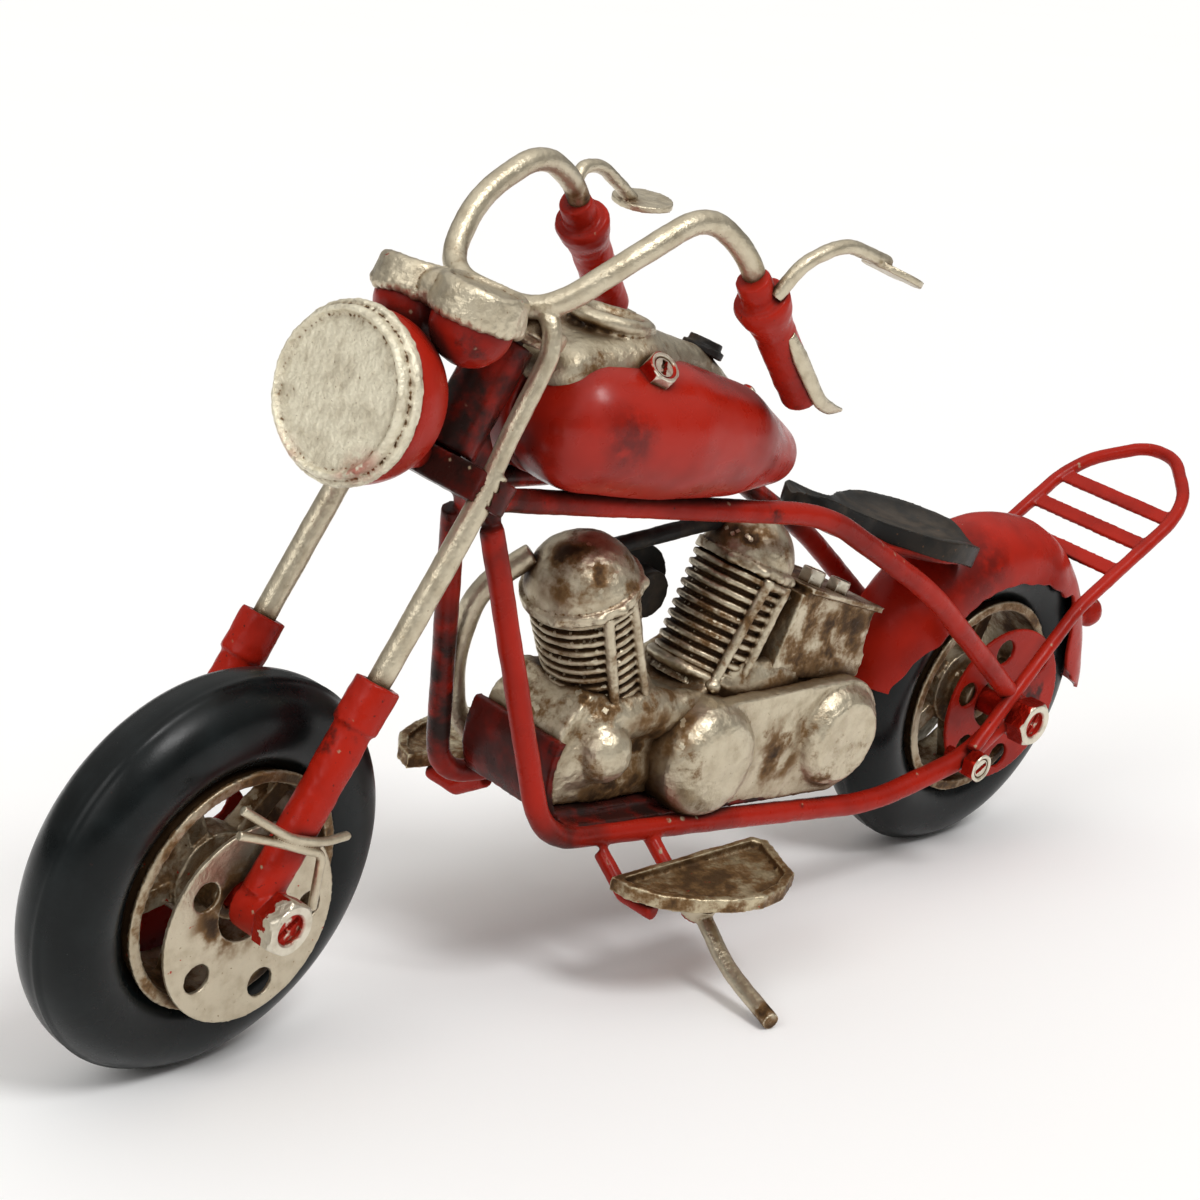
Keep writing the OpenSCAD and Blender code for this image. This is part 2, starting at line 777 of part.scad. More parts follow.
module rear_red_disc() {
    at_rear_axle() rotate([0, rear_red_disc_turn, 0]) red_disc();
}

module rear_silver_disc() {
    at_rear_axle() mirror([0, 1, 0]) silver_disc();
}

head_tube();
cradle_tube(1);  // left_cradle_tube
cradle_tube(-1);  // right_cradle_tube
top_tube(1);  // left_top_tube
top_tube(-1);  // right_top_tube
rear_axle();
rear_red_disc();
rear_silver_disc();
frame_bolts();
crankcase();
engine_tray();
front_cylinder();
rear_cylinder();
front_dome();
rear_dome();
primary_cover();
carburettor();
oil_tank();
exhaust();
tank_half(1);  // left_tank_half
tank_half(-1);  // right_tank_half
tank_console();
filler_cap();
seat_pad();
seat_pan();
rear_fender();
tail_lamp();
rack_rod();
rack_slats();
footboard(1);  // left_footboard
footboard(-1);  // right_footboard
footboard_bars();
stand_bracket();
steering_stem();
upper_yoke();
fork_tube(1);  // left_fork_tube
fork_tube(-1);  // right_fork_tube
slider(1);  // left_slider
slider(-1);  // right_slider
brake_wires();
headlight_shell();
headlight_face();
gauge_bowls();
gauge_lids();
handlebar();
grip(1, 0);  // left_grip
grip(-1, 2.4);  // right_grip
lever(1);  // left_lever
lever(-1);  // right_lever
mirror_arm(1, 7, 3.2);  // left_mirror
mirror_arm(-1, 31, -2.3);  // right_mirror
front_axle();
front_silver_disc();
front_red_disc();
front_tyre();
front_wheel();
rear_tyre();
rear_wheel();
kickstand();
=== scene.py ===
"""A hand-made tin chopper that leans on its side stand, in worn red enamel and rough silver paint.

Every piece is drawn in one of two spaces, in millimetres. BIKE is the upright bike, with +X forward, +Y to the
rider's left and +Z up from the ground below the rear axle. FORK is the steered fork, with +Z up the steering
axis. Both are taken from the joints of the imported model.
"""
import json
import math
import bpy
from mathutils import Matrix, Vector, noise


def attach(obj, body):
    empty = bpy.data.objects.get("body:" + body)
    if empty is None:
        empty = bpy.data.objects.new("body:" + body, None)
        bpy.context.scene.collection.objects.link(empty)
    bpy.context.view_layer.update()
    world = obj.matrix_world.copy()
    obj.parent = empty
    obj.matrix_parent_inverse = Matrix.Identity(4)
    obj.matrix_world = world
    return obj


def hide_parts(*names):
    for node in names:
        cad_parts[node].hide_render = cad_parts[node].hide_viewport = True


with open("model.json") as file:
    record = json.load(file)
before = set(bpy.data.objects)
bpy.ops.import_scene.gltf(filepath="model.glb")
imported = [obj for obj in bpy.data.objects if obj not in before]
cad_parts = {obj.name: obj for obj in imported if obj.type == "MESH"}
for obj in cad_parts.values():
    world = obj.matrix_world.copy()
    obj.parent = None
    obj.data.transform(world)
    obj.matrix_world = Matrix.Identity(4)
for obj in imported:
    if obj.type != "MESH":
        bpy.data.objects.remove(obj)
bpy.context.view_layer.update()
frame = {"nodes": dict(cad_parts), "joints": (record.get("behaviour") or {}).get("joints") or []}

MM = 0.001
LEAN = math.radians(9)
RAKE = math.radians(28)
STEER = math.radians(5.4)
WHEEL_R = 32.5

JOINTS = {joint["name"]: joint for joint in frame["joints"]}
LEANED = Matrix.Rotation(-LEAN, 4, "X")
SCALE = Matrix.Scale(MM, 4)
BIKE = (
    Matrix.Translation(JOINTS["rear_wheel_spin"]["pos_m"])
    @ LEANED
    @ SCALE
    @ Matrix.Translation((0, 0, -WHEEL_R))
)
TURNED = LEANED @ Matrix.Rotation(-RAKE, 4, "Y") @ Matrix.Rotation(STEER, 4, "Z")
FORK = Matrix.Translation(JOINTS["steering"]["pos_m"]) @ TURNED @ SCALE
FRONT_AXLE = Matrix.Translation(JOINTS["front_wheel_spin"]["pos_m"]) @ TURNED @ SCALE
REAR_AXLE = Matrix.Translation(JOINTS["rear_wheel_spin"]["pos_m"]) @ LEANED @ SCALE


# ---- Meshes ----

def add_object(name, mesh, body, material, stands_for=()):
    """Makes a piece of the mesh, which is already in the row frame, and hangs it on its body."""
    mesh.materials.clear()
    mesh.materials.append(material)
    mesh.shade_smooth()
    piece = bpy.data.objects.new(name, mesh)
    bpy.context.scene.collection.objects.link(piece)
    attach(piece, body)
    if stands_for:
        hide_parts(*stands_for)
    return piece


def mesh_of(name, verts, faces, space):
    mesh = bpy.data.meshes.new(name)
    mesh.from_pydata([space @ Vector(v) for v in verts], [], faces)
    mesh.validate()
    return mesh


def joined(name, meshes):
    """One mesh that holds all the meshes."""
    verts, faces = [], []
    for mesh in meshes:
        start = len(verts)
        verts += [v.co.copy() for v in mesh.vertices]
        faces += [[start + i for i in polygon.vertices] for polygon in mesh.polygons]
    result = bpy.data.meshes.new(name)
    result.from_pydata(verts, [], faces)
    return result


def lumps(size, strength, depth=2):
    """A Displace setting: soft lumps of that size and strength, in millimetres."""
    return {"size": size, "strength": strength, "depth": depth}


def skinned(name, meshes, voxel, smooth=3, bumps=()):
    """The meshes melted into one skin, with rounded edges and cast lumps."""
    scratch = bpy.data.objects.new(name, joined(name, meshes))
    bpy.context.scene.collection.objects.link(scratch)
    remesh = scratch.modifiers.new("melt", "REMESH")
    remesh.mode = "VOXEL"
    remesh.voxel_size = voxel * MM
    if smooth:
        soften = scratch.modifiers.new("soften", "SMOOTH")
        soften.factor = 0.5
        soften.iterations = smooth
    for i, bump in enumerate(bumps):
        texture = bpy.data.textures.new(f"{name}_{i}", "CLOUDS")
        texture.noise_scale = bump["size"] * MM
        texture.noise_depth = bump["depth"]
        texture.noise_basis = "ORIGINAL_PERLIN"
        lump = scratch.modifiers.new("lump", "DISPLACE")
        lump.texture = texture
        lump.texture_coords = "LOCAL"
        lump.strength = bump["strength"] * MM
        lump.mid_level = 0.5
    depsgraph = bpy.context.evaluated_depsgraph_get()
    mesh = bpy.data.meshes.new_from_object(scratch.evaluated_get(depsgraph))
    bpy.data.objects.remove(scratch)
    mesh.name = name
    return mesh


def cad(*nodes):
    return [frame["nodes"][node].data for node in nodes]


def skin_nodes(name, nodes, body, material, voxel=0.4, smooth=3, bumps=(), extra=()):
    """A melted skin over the solids of some CAD nodes, which it stands for, and over extra meshes."""
    mesh = skinned(name, cad(*nodes) + list(extra), voxel, smooth, bumps)
    return add_object(name, mesh, body, material, nodes)


def lathe(profile, space, axis="Z", steps=96, name="lathe"):
    """Turns (along, radius) points about an axis of the space. A radius of 0 closes an end."""
    verts, faces = [], []
    for along, radius in profile:
        for i in range(steps):
            angle = 2 * math.pi * i / steps
            c, s = radius * math.cos(angle), radius * math.sin(angle)
            verts.append((c, s, along) if axis == "Z" else (s, along, c))
    for j in range(len(profile) - 1):
        for i in range(steps):
            a, b = j * steps + i, j * steps + (i + 1) % steps
            faces.append((a, b, b + steps, a + steps))
    return mesh_of(name, verts, faces, space)


def eased(points, steps=8):
    """A smooth curve through the points, as a dense list of points."""
    points = [Vector(p) for p in points]
    padded = [2 * points[0] - points[1]] + points + [2 * points[-1] - points[-2]]
    curve = []
    for i in range(1, len(padded) - 2):
        p0, p1, p2, p3 = padded[i - 1:i + 3]
        for k in range(steps):
            t = k / steps
            curve.append(0.5 * (2 * p1 + (p2 - p0) * t + (2 * p0 - 5 * p1 + 4 * p2 - p3) * t ** 2
                                + (3 * p1 - p0 - 3 * p2 + p3) * t ** 3))
    curve.append(points[-1])
    return curve


def swept(points, widths, space, side=(0, 1, 0), sides=20, name="sweep"):
    """A rod with oval section along the points; widths gives (along the side, square to it) radii for each."""
    curve = eased(points)
    steps = (len(curve) - 1) / (len(widths) - 1)
    verts, faces = [], []
    for i, point in enumerate(curve):
        tangent = (curve[min(i + 1, len(curve) - 1)] - curve[max(i - 1, 0)]).normalized()
        across = (Vector(side) - Vector(side).dot(tangent) * tangent).normalized()
        other = tangent.cross(across)
        place = i / steps
        low = min(int(place), len(widths) - 2)
        t = place - low
        wide = widths[low][0] * (1 - t) + widths[low + 1][0] * t
        deep = widths[low][1] * (1 - t) + widths[low + 1][1] * t
        for k in range(sides):
            angle = 2 * math.pi * k / sides
            verts.append(point + wide * math.cos(angle) * across + deep * math.sin(angle) * other)
    for i in range(len(curve) - 1):
        for k in range(sides):
            a, b = i * sides + k, i * sides + (k + 1) % sides
            faces.append((a, b, b + sides, a + sides))
    faces.append(tuple(range(sides - 1, -1, -1)))
    faces.append(tuple(range(len(verts) - sides, len(verts))))
    return mesh_of(name, verts, faces, space)


def blob(centre, radius, space, stretch=(1, 1, 1), name="blob"):
    """A ball, stretched along the axes of the space, to be melted into a skin."""
    rings = 16
    profile = []
    for j in range(rings + 1):
        angle = math.pi * j / rings
        profile.append((-radius * math.cos(angle), max(radius * math.sin(angle), 0.001)))
    place = space @ Matrix.Translation(centre) @ Matrix.Diagonal((*stretch, 1))
    return lathe(profile, place, steps=32, name=name)


def prism(outline, half, space, name="prism"):
    """An (x, z) outline made half millimetres thick to each side of the bike's middle plane."""
    count = len(outline)
    verts = [(x, y, z) for y in (-half, half) for x, z in outline]
    faces = [tuple(range(count)), tuple(reversed(range(count, 2 * count)))]
    faces += [(i, count + i, count + (i + 1) % count, (i + 1) % count) for i in range(count)]
    return mesh_of(name, verts, faces, space)


# ---- Shader nodes ----

class Shader:
    """Builds the node tree of one material; noise sizes are in millimetres."""

    def __init__(self, name):
        self.material = bpy.data.materials.new(name)
        self.material.use_nodes = True
        self.tree = self.material.node_tree
        self.tree.nodes.clear()
        self.bsdf = self.tree.nodes.new("ShaderNodeBsdfPrincipled")
        out = self.tree.nodes.new("ShaderNodeOutputMaterial")
        self.tree.links.new(self.bsdf.outputs["BSDF"], out.inputs["Surface"])
        self.place = self.node("ShaderNodeTexCoord").outputs["Object"]
        self.height = None

    def node(self, kind, **settings):
        made = self.tree.nodes.new(kind)
        for key, value in settings.items():
            setattr(made, key, value)
        return made

    def put(self, socket, value):
        if isinstance(value, bpy.types.NodeSocket):
            self.tree.links.new(value, socket)
        else:
            socket.default_value = value

    def noise(self, size, detail=3.0, roughness=0.55, stretch=(1, 1, 1), seed=0.0):
        """Noise from 0 to 1 whose features are about size millimetres wide."""
        mapping = self.node("ShaderNodeMapping")
        self.put(mapping.inputs["Vector"], self.place)
        mapping.inputs["Scale"].default_value = [1000 / size / s for s in stretch]
        mapping.inputs["Location"].default_value = (seed, seed * 1.7, seed * 0.6)
        made = self.node("ShaderNodeTexNoise")
        self.put(made.inputs["Vector"], mapping.outputs["Vector"])
        made.inputs["Scale"].default_value = 1.0
        made.inputs["Detail"].default_value = detail
        made.inputs["Roughness"].default_value = roughness
        return made.outputs["Fac"]

    def ramp(self, value, low, high, to_low=0.0, to_high=1.0):
        """Maps value smoothly from the span low..high to to_low..to_high."""
        made = self.node("ShaderNodeMapRange", interpolation_type="SMOOTHSTEP")
        self.put(made.inputs["Value"], value)
        made.inputs["From Min"].default_value = low
        made.inputs["From Max"].default_value = high
        made.inputs["To Min"].default_value = to_low
        made.inputs["To Max"].default_value = to_high
        return made.outputs["Result"]

    def math(self, operation, a, b=0.0):
        made = self.node("ShaderNodeMath", operation=operation)
        self.put(made.inputs[0], a)
        self.put(made.inputs[1], b)
        return made.outputs["Value"]

    def mix(self, factor, a, b):
        """Colour a where factor is 0, colour b where it is 1."""
        made = self.node("ShaderNodeMix", data_type="RGBA", clamp_factor=True)
        self.put(made.inputs[0], factor)
        self.put(made.inputs[6], a)
        self.put(made.inputs[7], b)
        return made.outputs[2]

    def crevice(self, distance, low=0.45, high=0.95):
        """1 in the hollows that light hardly reaches, 0 in the open."""
        made = self.node("ShaderNodeAmbientOcclusion", samples=6)
        made.inputs["Distance"].default_value = distance * MM
        return self.ramp(made.outputs["AO"], low, high, 1.0, 0.0)

    def edge(self, low=0.52, high=0.6):
        """1 on sharp outward edges."""
        return self.ramp(self.node("ShaderNodeNewGeometry").outputs["Pointiness"], low, high)

    def near(self, point, inner, outer):
        """1 within inner millimetres of a point of the row frame, 0 beyond outer."""
        made = self.node("ShaderNodeVectorMath", operation="DISTANCE")
        self.put(made.inputs[0], self.place)
        made.inputs[1].default_value = point
        return self.ramp(made.outputs["Value"], inner * MM, outer * MM, 1.0, 0.0)

    def off_side(self):
        """1 on walls that don't face the bike's left or right, broken at their edges."""
        facing = self.node("ShaderNodeVectorMath", operation="DOT_PRODUCT")
        self.put(facing.inputs[0], self.node("ShaderNodeTexCoord").outputs["Normal"])
        facing.inputs[1].default_value = (LEANED @ Vector((0, 1, 0))).to_tuple()
        turned = self.math("ABSOLUTE", facing.outputs["Value"])
        ragged = self.math("ADD", turned, self.ramp(self.noise(1.5, detail=4), 0.3, 0.7, -0.12, 0.12))
        return self.ramp(ragged, 0.35, 0.55, 1.0, 0.0)

    def inboard(self, reach):
        """1 within reach millimetres of the bike's middle plane, with a ragged edge."""
        across = self.node("ShaderNodeVectorMath", operation="DOT_PRODUCT")
        self.put(across.inputs[0], self.place)
        axis = LEANED @ Vector((0, 1, 0))
        across.inputs[1].default_value = axis.to_tuple()
        middle = (BIKE @ Vector((0, 0, 0))).dot(axis)
        away = self.math("ABSOLUTE", self.math("SUBTRACT", across.outputs["Value"], middle))
        ragged = self.math("ADD", away, self.ramp(self.noise(1.8, detail=4), 0.3, 0.7, -0.9 * MM, 0.9 * MM))
        return self.ramp(ragged, (reach - 0.15) * MM, (reach + 0.15) * MM, 1.0, 0.0)

    def add_bump(self, height, strength, depth):
        """A bump whose full height is depth millimetres."""
        made = self.node("ShaderNodeBump")
        made.inputs["Strength"].default_value = strength
        made.inputs["Distance"].default_value = depth * MM
        self.put(made.inputs["Height"], height)
        if self.height is not None:
            self.put(made.inputs["Normal"], self.height)
        self.height = made.outputs["Normal"]

    def finish(self, colour, roughness, metallic=0.0, coat=0.0, specular=0.4):
        self.put(self.bsdf.inputs["Base Color"], colour)
        self.put(self.bsdf.inputs["Roughness"], roughness)
        self.put(self.bsdf.inputs["Metallic"], metallic)
        self.bsdf.inputs["Specular IOR Level"].default_value = specular
        self.bsdf.inputs["Coat Weight"].default_value = coat
        self.bsdf.inputs["Coat Roughness"].default_value = 0.15
        if self.height is not None:
            self.put(self.bsdf.inputs["Normal"], self.height)
        return self.material


def rgb(r, g, b):
    return (r, g, b, 1.0)


RED = rgb(0.38, 0.015, 0.006)
DEEP_RED = rgb(0.23, 0.009, 0.004)
# A dark red for stains, also used as painted shade on the belly tray.
STAIN_AND_SHADE_RED = rgb(0.13, 0.007, 0.004)
# Near black: for chips and grime, and for painted shade on the red enamel.
SOOT_AND_SHADE_BLACK = rgb(0.022, 0.010, 0.008)
BARE = rgb(0.50, 0.45, 0.35)
CHAMPAGNE = rgb(0.62, 0.55, 0.41)
DULL_SILVER = rgb(0.36, 0.29, 0.19)
RUST_BROWN = rgb(0.19, 0.105, 0.042)
BROWN = rgb(0.040, 0.020, 0.008)


def red_enamel(name, soot_and_shade_level=0.62, painted_shade_spots=(), smudges=(), chips=0.72, lumpy=0.12, base=(RED, DEEP_RED),
               specular=0.14, seed=0.0):
    """Worn red enamel with painted shade. Soot and painted shade both turn it near black above the given noise level;
    lower means darker. The shade spots are patches of painted shade, and the hollows are painted darker as shade.
    """
    shader = Shader(name)
    colour = shader.mix(shader.ramp(shader.noise(14, seed=seed), 0.4, 0.75), base[0], base[1])
    for point, inner, outer in smudges:
        broken = shader.ramp(shader.noise(2.5, detail=5, seed=seed + 8), 0.25, 0.6)
        colour = shader.mix(shader.math("MULTIPLY", shader.near(point, inner, outer), broken), colour, STAIN_AND_SHADE_RED)
    # Random near-black patches; where the level is set low, as on the neck and the belly tray, they stand for painted
    # shade.
    dark = shader.ramp(shader.noise(11, detail=6, roughness=0.65, seed=seed + 3), soot_and_shade_level, soot_and_shade_level + 0.12, 0.0, 0.92)
    # Painted shade: the hollows turn near black.
    dark = shader.math("MAXIMUM", dark, shader.math("MULTIPLY", shader.crevice(3.5, 0.35, 0.95), 0.9))
    # Painted shade: dark patches round the given points.
    for point, inner, outer in painted_shade_spots:
        patch = shader.near(point, inner, outer)
        broken = shader.math("MULTIPLY", patch, shader.ramp(shader.noise(5, detail=5, seed=seed + 8), 0.2, 0.62))
        dark = shader.math("MAXIMUM", dark, broken)
    colour = shader.mix(dark, colour, SOOT_AND_SHADE_BLACK)
    specks = shader.ramp(shader.noise(0.9, detail=4, seed=seed + 5), chips, chips + 0.02)
    colour = shader.mix(shader.math("MULTIPLY", specks, 0.8), colour, SOOT_AND_SHADE_BLACK)
    dust = shader.ramp(shader.noise(0.55, detail=2, seed=seed + 11), 0.79, 0.81)
    colour = shader.mix(shader.math("MULTIPLY", dust, 0.7), colour, BARE)
    worn = shader.math("MULTIPLY", shader.edge(0.56, 0.66), shader.ramp(shader.noise(3, seed=seed + 2), 0.5, 0.62))
    colour = shader.mix(worn, colour, DULL_SILVER)
    shader.add_bump(shader.noise(5, detail=3, seed=seed), 0.5, lumpy)
    shader.add_bump(shader.noise(0.8, detail=4, seed=seed + 1), 0.35, 0.03)
    shader.add_bump(specks, 0.4, -0.04)
    roughness = shader.ramp(shader.noise(4, detail=4, seed=seed + 6), 0.3, 0.7, 0.22, 0.42)
    return shader.finish(colour, roughness, specular=specular)


def silver_paint(name, brown=0.55, rough=0.1, red_specks=0.0, hollow=3.5, tone=CHAMPAGNE, spots=(), red_spots=(),
                 metal=0.86, grain=0.18, red_walls=None, seed=0.0):
    """Rough silver paint, brown in the hollows. Brown is the noise level above which it is stained."""
    shader = Shader(name)
    cloud = shader.noise(8, detail=8, roughness=0.68, seed=seed)
    stain = shader.ramp(cloud, brown, brown + 0.26, 0.0, 0.86)
    hollows = shader.math("MAXIMUM", shader.crevice(hollow, 0.5, 1.0), shader.edge(0.49, 0.45))
    hollows = shader.math("MULTIPLY", hollows, shader.ramp(cloud, 0.25, 0.55, 0.75, 1.0))
    stain = shader.math("MAXIMUM", stain, hollows)
    for place, inner, outer in spots:
        broken = shader.ramp(shader.noise(4, detail=6, seed=seed + 8), 0.28, 0.66)
        stain = shader.math("MAXIMUM", stain, shader.math("MULTIPLY", shader.near(place, inner, outer), broken))
    pits = shader.ramp(shader.noise(0.6, detail=3, roughness=0.6, seed=seed + 4), 0.66, 0.74)
    stain = shader.math("MAXIMUM", stain, shader.math("MULTIPLY", pits, 0.45))
    colour = shader.mix(shader.ramp(shader.noise(3, detail=4, seed=seed + 1), 0.4, 0.75, 0.0, 0.5), tone, DULL_SILVER)
    stain = shader.math("MULTIPLY", stain, shader.math("SUBTRACT", 1.0, shader.edge(0.51, 0.57)))
    colour = shader.mix(shader.ramp(stain, 0.0, 0.65), colour, RUST_BROWN)
    colour = shader.mix(shader.ramp(stain, 0.5, 1.0), colour, BROWN)
    if red_specks:
        flecks = shader.ramp(shader.noise(1.6, detail=5, seed=seed + 9), 1 - red_specks, 1.02 - red_specks)
        colour = shader.mix(flecks, colour, RED)
    for place, inner, outer in red_spots:
        broken = shader.ramp(shader.noise(1.6, detail=5, seed=seed + 12), 0.35, 0.5)
        colour = shader.mix(shader.math("MULTIPLY", shader.near(place, inner, outer), broken), colour, RED)
    if red_walls == "rear":
        colour = shader.mix(shader.off_side(), colour, RED)
    if red_walls == "front":
        colour = shader.mix(shader.inboard(17.9), colour, RED)
    shader.add_bump(shader.noise(2.2, detail=5, roughness=0.6, seed=seed + 2), 0.7, rough)
    shader.add_bump(shader.noise(1.0, detail=5, roughness=0.6, seed=seed + 3), 1.0, grain)
    shader.add_bump(pits, 0.5, -0.04)
    metallic = shader.ramp(stain, 0.2, 0.9, metal, 0.3)
    roughness = shader.math("ADD", shader.ramp(stain, 0.0, 1.0, 0.32, 0.55),
                            shader.ramp(shader.noise(1.4, seed=seed + 7), 0.3, 0.7, -0.03, 0.08))
    return shader.finish(colour, roughness, metallic, specular=0.2)


def dark_metal(name, base=rgb(0.018, 0.017, 0.016), rubbed=rgb(0.10, 0.065, 0.035), roughness=(0.32, 0.5), worn_at=None,
               seed=0.0):
    """Near-black paint rubbed through to brown."""
    shader = Shader(name)
    haze = shader.ramp(shader.noise(6, detail=6, roughness=0.65, seed=seed), 0.45, 0.7, 0.0, 0.6)
    if worn_at:
        rubbing = shader.math("MULTIPLY", shader.near(*worn_at), shader.ramp(shader.noise(3, detail=6, seed=seed + 6), 0.2, 0.7))
        haze = shader.math("MAXIMUM", haze, rubbing)
    colour = shader.mix(haze, base, rgb(0.062, 0.046, 0.032))
    worn = shader.math("MULTIPLY", shader.edge(0.53, 0.62), shader.ramp(shader.noise(2, detail=5, seed=seed + 2), 0.38, 0.6))
    colour = shader.mix(worn, colour, rubbed)
    flecks = shader.ramp(shader.noise(0.8, detail=4, seed=seed + 5), 0.68, 0.7)
    colour = shader.mix(shader.math("MULTIPLY", flecks, 0.6), colour, rubbed)
    shader.add_bump(shader.noise(3, detail=4, seed=seed + 1), 0.5, 0.12)
    shader.add_bump(shader.noise(0.6, detail=4, seed=seed + 3), 0.4, 0.03)
    gloss = shader.ramp(shader.noise(5, detail=4, seed=seed + 4), 0.3, 0.7, roughness[0], roughness[1])
    return shader.finish(colour, gloss, 0.1, specular=0.14)


def rubber(name):
    shader = Shader(name)
    colour = shader.mix(shader.ramp(shader.noise(9, detail=5), 0.4, 0.7), rgb(0.0022, 0.0036, 0.0038), rgb(0.006, 0.0085, 0.009))
    dust = shader.ramp(shader.noise(0.5, detail=2, seed=4.0), 0.8, 0.82)
    colour = shader.mix(shader.math("MULTIPLY", dust, 0.5), colour, rgb(0.35, 0.34, 0.32))
    smear = shader.ramp(shader.noise(3.5, detail=6, roughness=0.7, stretch=(1, 1, 1), seed=7.0), 0.66, 0.72, 0.0, 0.5)
    colour = shader.mix(smear, colour, rgb(0.07, 0.022, 0.015))
    shader.add_bump(shader.noise(4, detail=3), 0.4, 0.06)
    shader.add_bump(shader.noise(0.4, detail=4, seed=2.0), 0.4, 0.02)
    gloss = shader.ramp(shader.noise(6, detail=4, seed=3.0), 0.3, 0.7, 0.24, 0.36)
    return shader.finish(colour, gloss, specular=0.22)


def at(space, *place):
    return space @ Vector(place)


# Painted shade: dark patches at the steering neck and on the lower and far-side tubes.
M_FRAME = red_enamel("frame_red", soot_and_shade_level=0.64, painted_shade_spots=(
    (at(BIKE, 139, 0, 90), 6, 17), (at(FORK, 0, 0, 82), 12, 22), (at(BIKE, 128, -12, 50), 10, 26),
    (at(BIKE, 118, 8, 28), 4, 15), (at(BIKE, 60, -13, 74), 14, 34), (at(BIKE, 130, -6, 86), 8, 24)), seed=1.0)
# The smudge is a stain; the spot at the tank's front by the neck is painted shade.
M_TANK = red_enamel("tank_red", soot_and_shade_level=0.95, chips=0.8, lumpy=0.05, smudges=((at(BIKE, 122.6, 15, 100.2), 2, 6.5),),
                    painted_shade_spots=((at(BIKE, 138, 2, 90), 5, 14),), specular=0.3, seed=4.0)
# Painted shade: dark patches on the mudguard under the seat and by the tubes.
M_FENDER = red_enamel("fender_red", soot_and_shade_level=0.78, lumpy=0.1, smudges=((at(BIKE, 12, 9, 62), 3, 12),),
                      painted_shade_spots=((at(BIKE, 34.9, 9, 60.6), 5, 13), (at(BIKE, 46, 4, 50), 6, 14)), seed=7.0)
M_RACK = red_enamel("rack_red", soot_and_shade_level=0.74, lumpy=0.1, seed=8.0)
M_SLIDER = red_enamel("slider_red", soot_and_shade_level=0.6, chips=0.68, lumpy=0.2, seed=9.0)
# Painted shade: the steering neck is a near-black copy of the red, with a patch of painted shade.
M_HEAD = red_enamel("steering_red", soot_and_shade_level=0.44, base=(rgb(0.16, 0.010, 0.006), rgb(0.07, 0.007, 0.005)),
                    painted_shade_spots=((at(FORK, 4, 0, 78), 14, 34),), seed=11.0)
# Painted shade: the belly tray under the engine is a darker copy of the red, with a large patch of painted shade.
M_TRAY = red_enamel("tray_red", soot_and_shade_level=0.5, base=(DEEP_RED, STAIN_AND_SHADE_RED), painted_shade_spots=((at(BIKE, 92, 4, 30), 26, 46),),
                    seed=12.0)
M_GRIP = red_enamel("grip_red", soot_and_shade_level=0.6, chips=0.68, lumpy=0.16, seed=13.0)
M_LAMP = red_enamel("lamp_red", soot_and_shade_level=0.7, lumpy=0.12, seed=15.0)
M_GAUGE = red_enamel("gauge_red", soot_and_shade_level=0.58, lumpy=0.2, base=(rgb(0.34, 0.014, 0.006), DEEP_RED), seed=17.0)
M_PLATE_RED = red_enamel("plate_red", soot_and_shade_level=0.58, lumpy=0.05, seed=19.0)
M_ENGINE = silver_paint("engine_silver", brown=0.43, rough=0.22, seed=2.0, spots=(
    (at(BIKE, 117, 8, 72), 3, 9), (at(BIKE, 100, 8, 44), 3, 10), (at(BIKE, 104, 9, 33), 4, 14)))
M_DOME = silver_paint("dome_silver", brown=0.47, rough=0.16, seed=3.0, spots=(
    (at(BIKE, 119, 6, 76), 4, 11), (at(BIKE, 76, 4, 74), 2, 8)))
M_TIN = silver_paint("tin_silver", brown=0.38, rough=0.2, seed=4.5, spots=((at(BIKE, 52, 9.5, 54), 3, 14),))
M_COVER = silver_paint("cover_silver", brown=0.49, rough=0.16, hollow=4.5, seed=5.0, spots=(
    (at(BIKE, 67, 11, 36), 2, 11), (at(BIKE, 93, 10, 44), 2, 8)))
M_CONSOLE = silver_paint("console_silver", brown=0.47, rough=0.16, seed=6.0, spots=((at(BIKE, 122, 5, 108), 1, 7),))
M_BOARD = silver_paint("footboard_silver", brown=0.34, rough=0.3, red_specks=0.27, hollow=3.6,
                       tone=rgb(0.58, 0.50, 0.34), seed=8.0)
M_FACE = silver_paint("lens_silver", brown=0.72, rough=0.3, tone=rgb(0.82, 0.76, 0.59), hollow=1.2, metal=0.5, grain=0.4,
                      red_spots=((at(FORK, 30, 10, 60), 3, 8), (at(FORK, 30, -6, 58), 2, 7)), seed=10.0)
M_ROD = silver_paint("rod_silver", brown=0.58, rough=0.08, hollow=2.5, seed=12.0,
                     spots=((at(BIKE, 97.8, 47.6, 8.9), 3, 5), (at(FORK, -24, -18.4, 118), 4, 9)))
M_LID = silver_paint("gauge_silver", brown=0.54, rough=0.3, red_specks=0.3, seed=14.0)
NUT_TONE = rgb(0.74, 0.69, 0.57)
M_FRONT_NUT = silver_paint("front_nut_silver", brown=0.6, rough=0.06, tone=NUT_TONE, hollow=1.2, red_walls="front",
                           red_spots=((at(FRONT_AXLE, 0, 19, 0), 2.3, 3.0),), seed=16.0)
M_NUT = silver_paint("nut_silver", brown=0.6, rough=0.06, tone=NUT_TONE, hollow=1.2, red_walls="rear",
                     red_spots=((at(REAR_AXLE, 0, 20.4, 0), 2.3, 3.0),), seed=17.0)
M_SMALL_NUT = silver_paint("small_nut_silver", brown=0.5, rough=0.06, tone=NUT_TONE, hollow=1.2, seed=21.0)
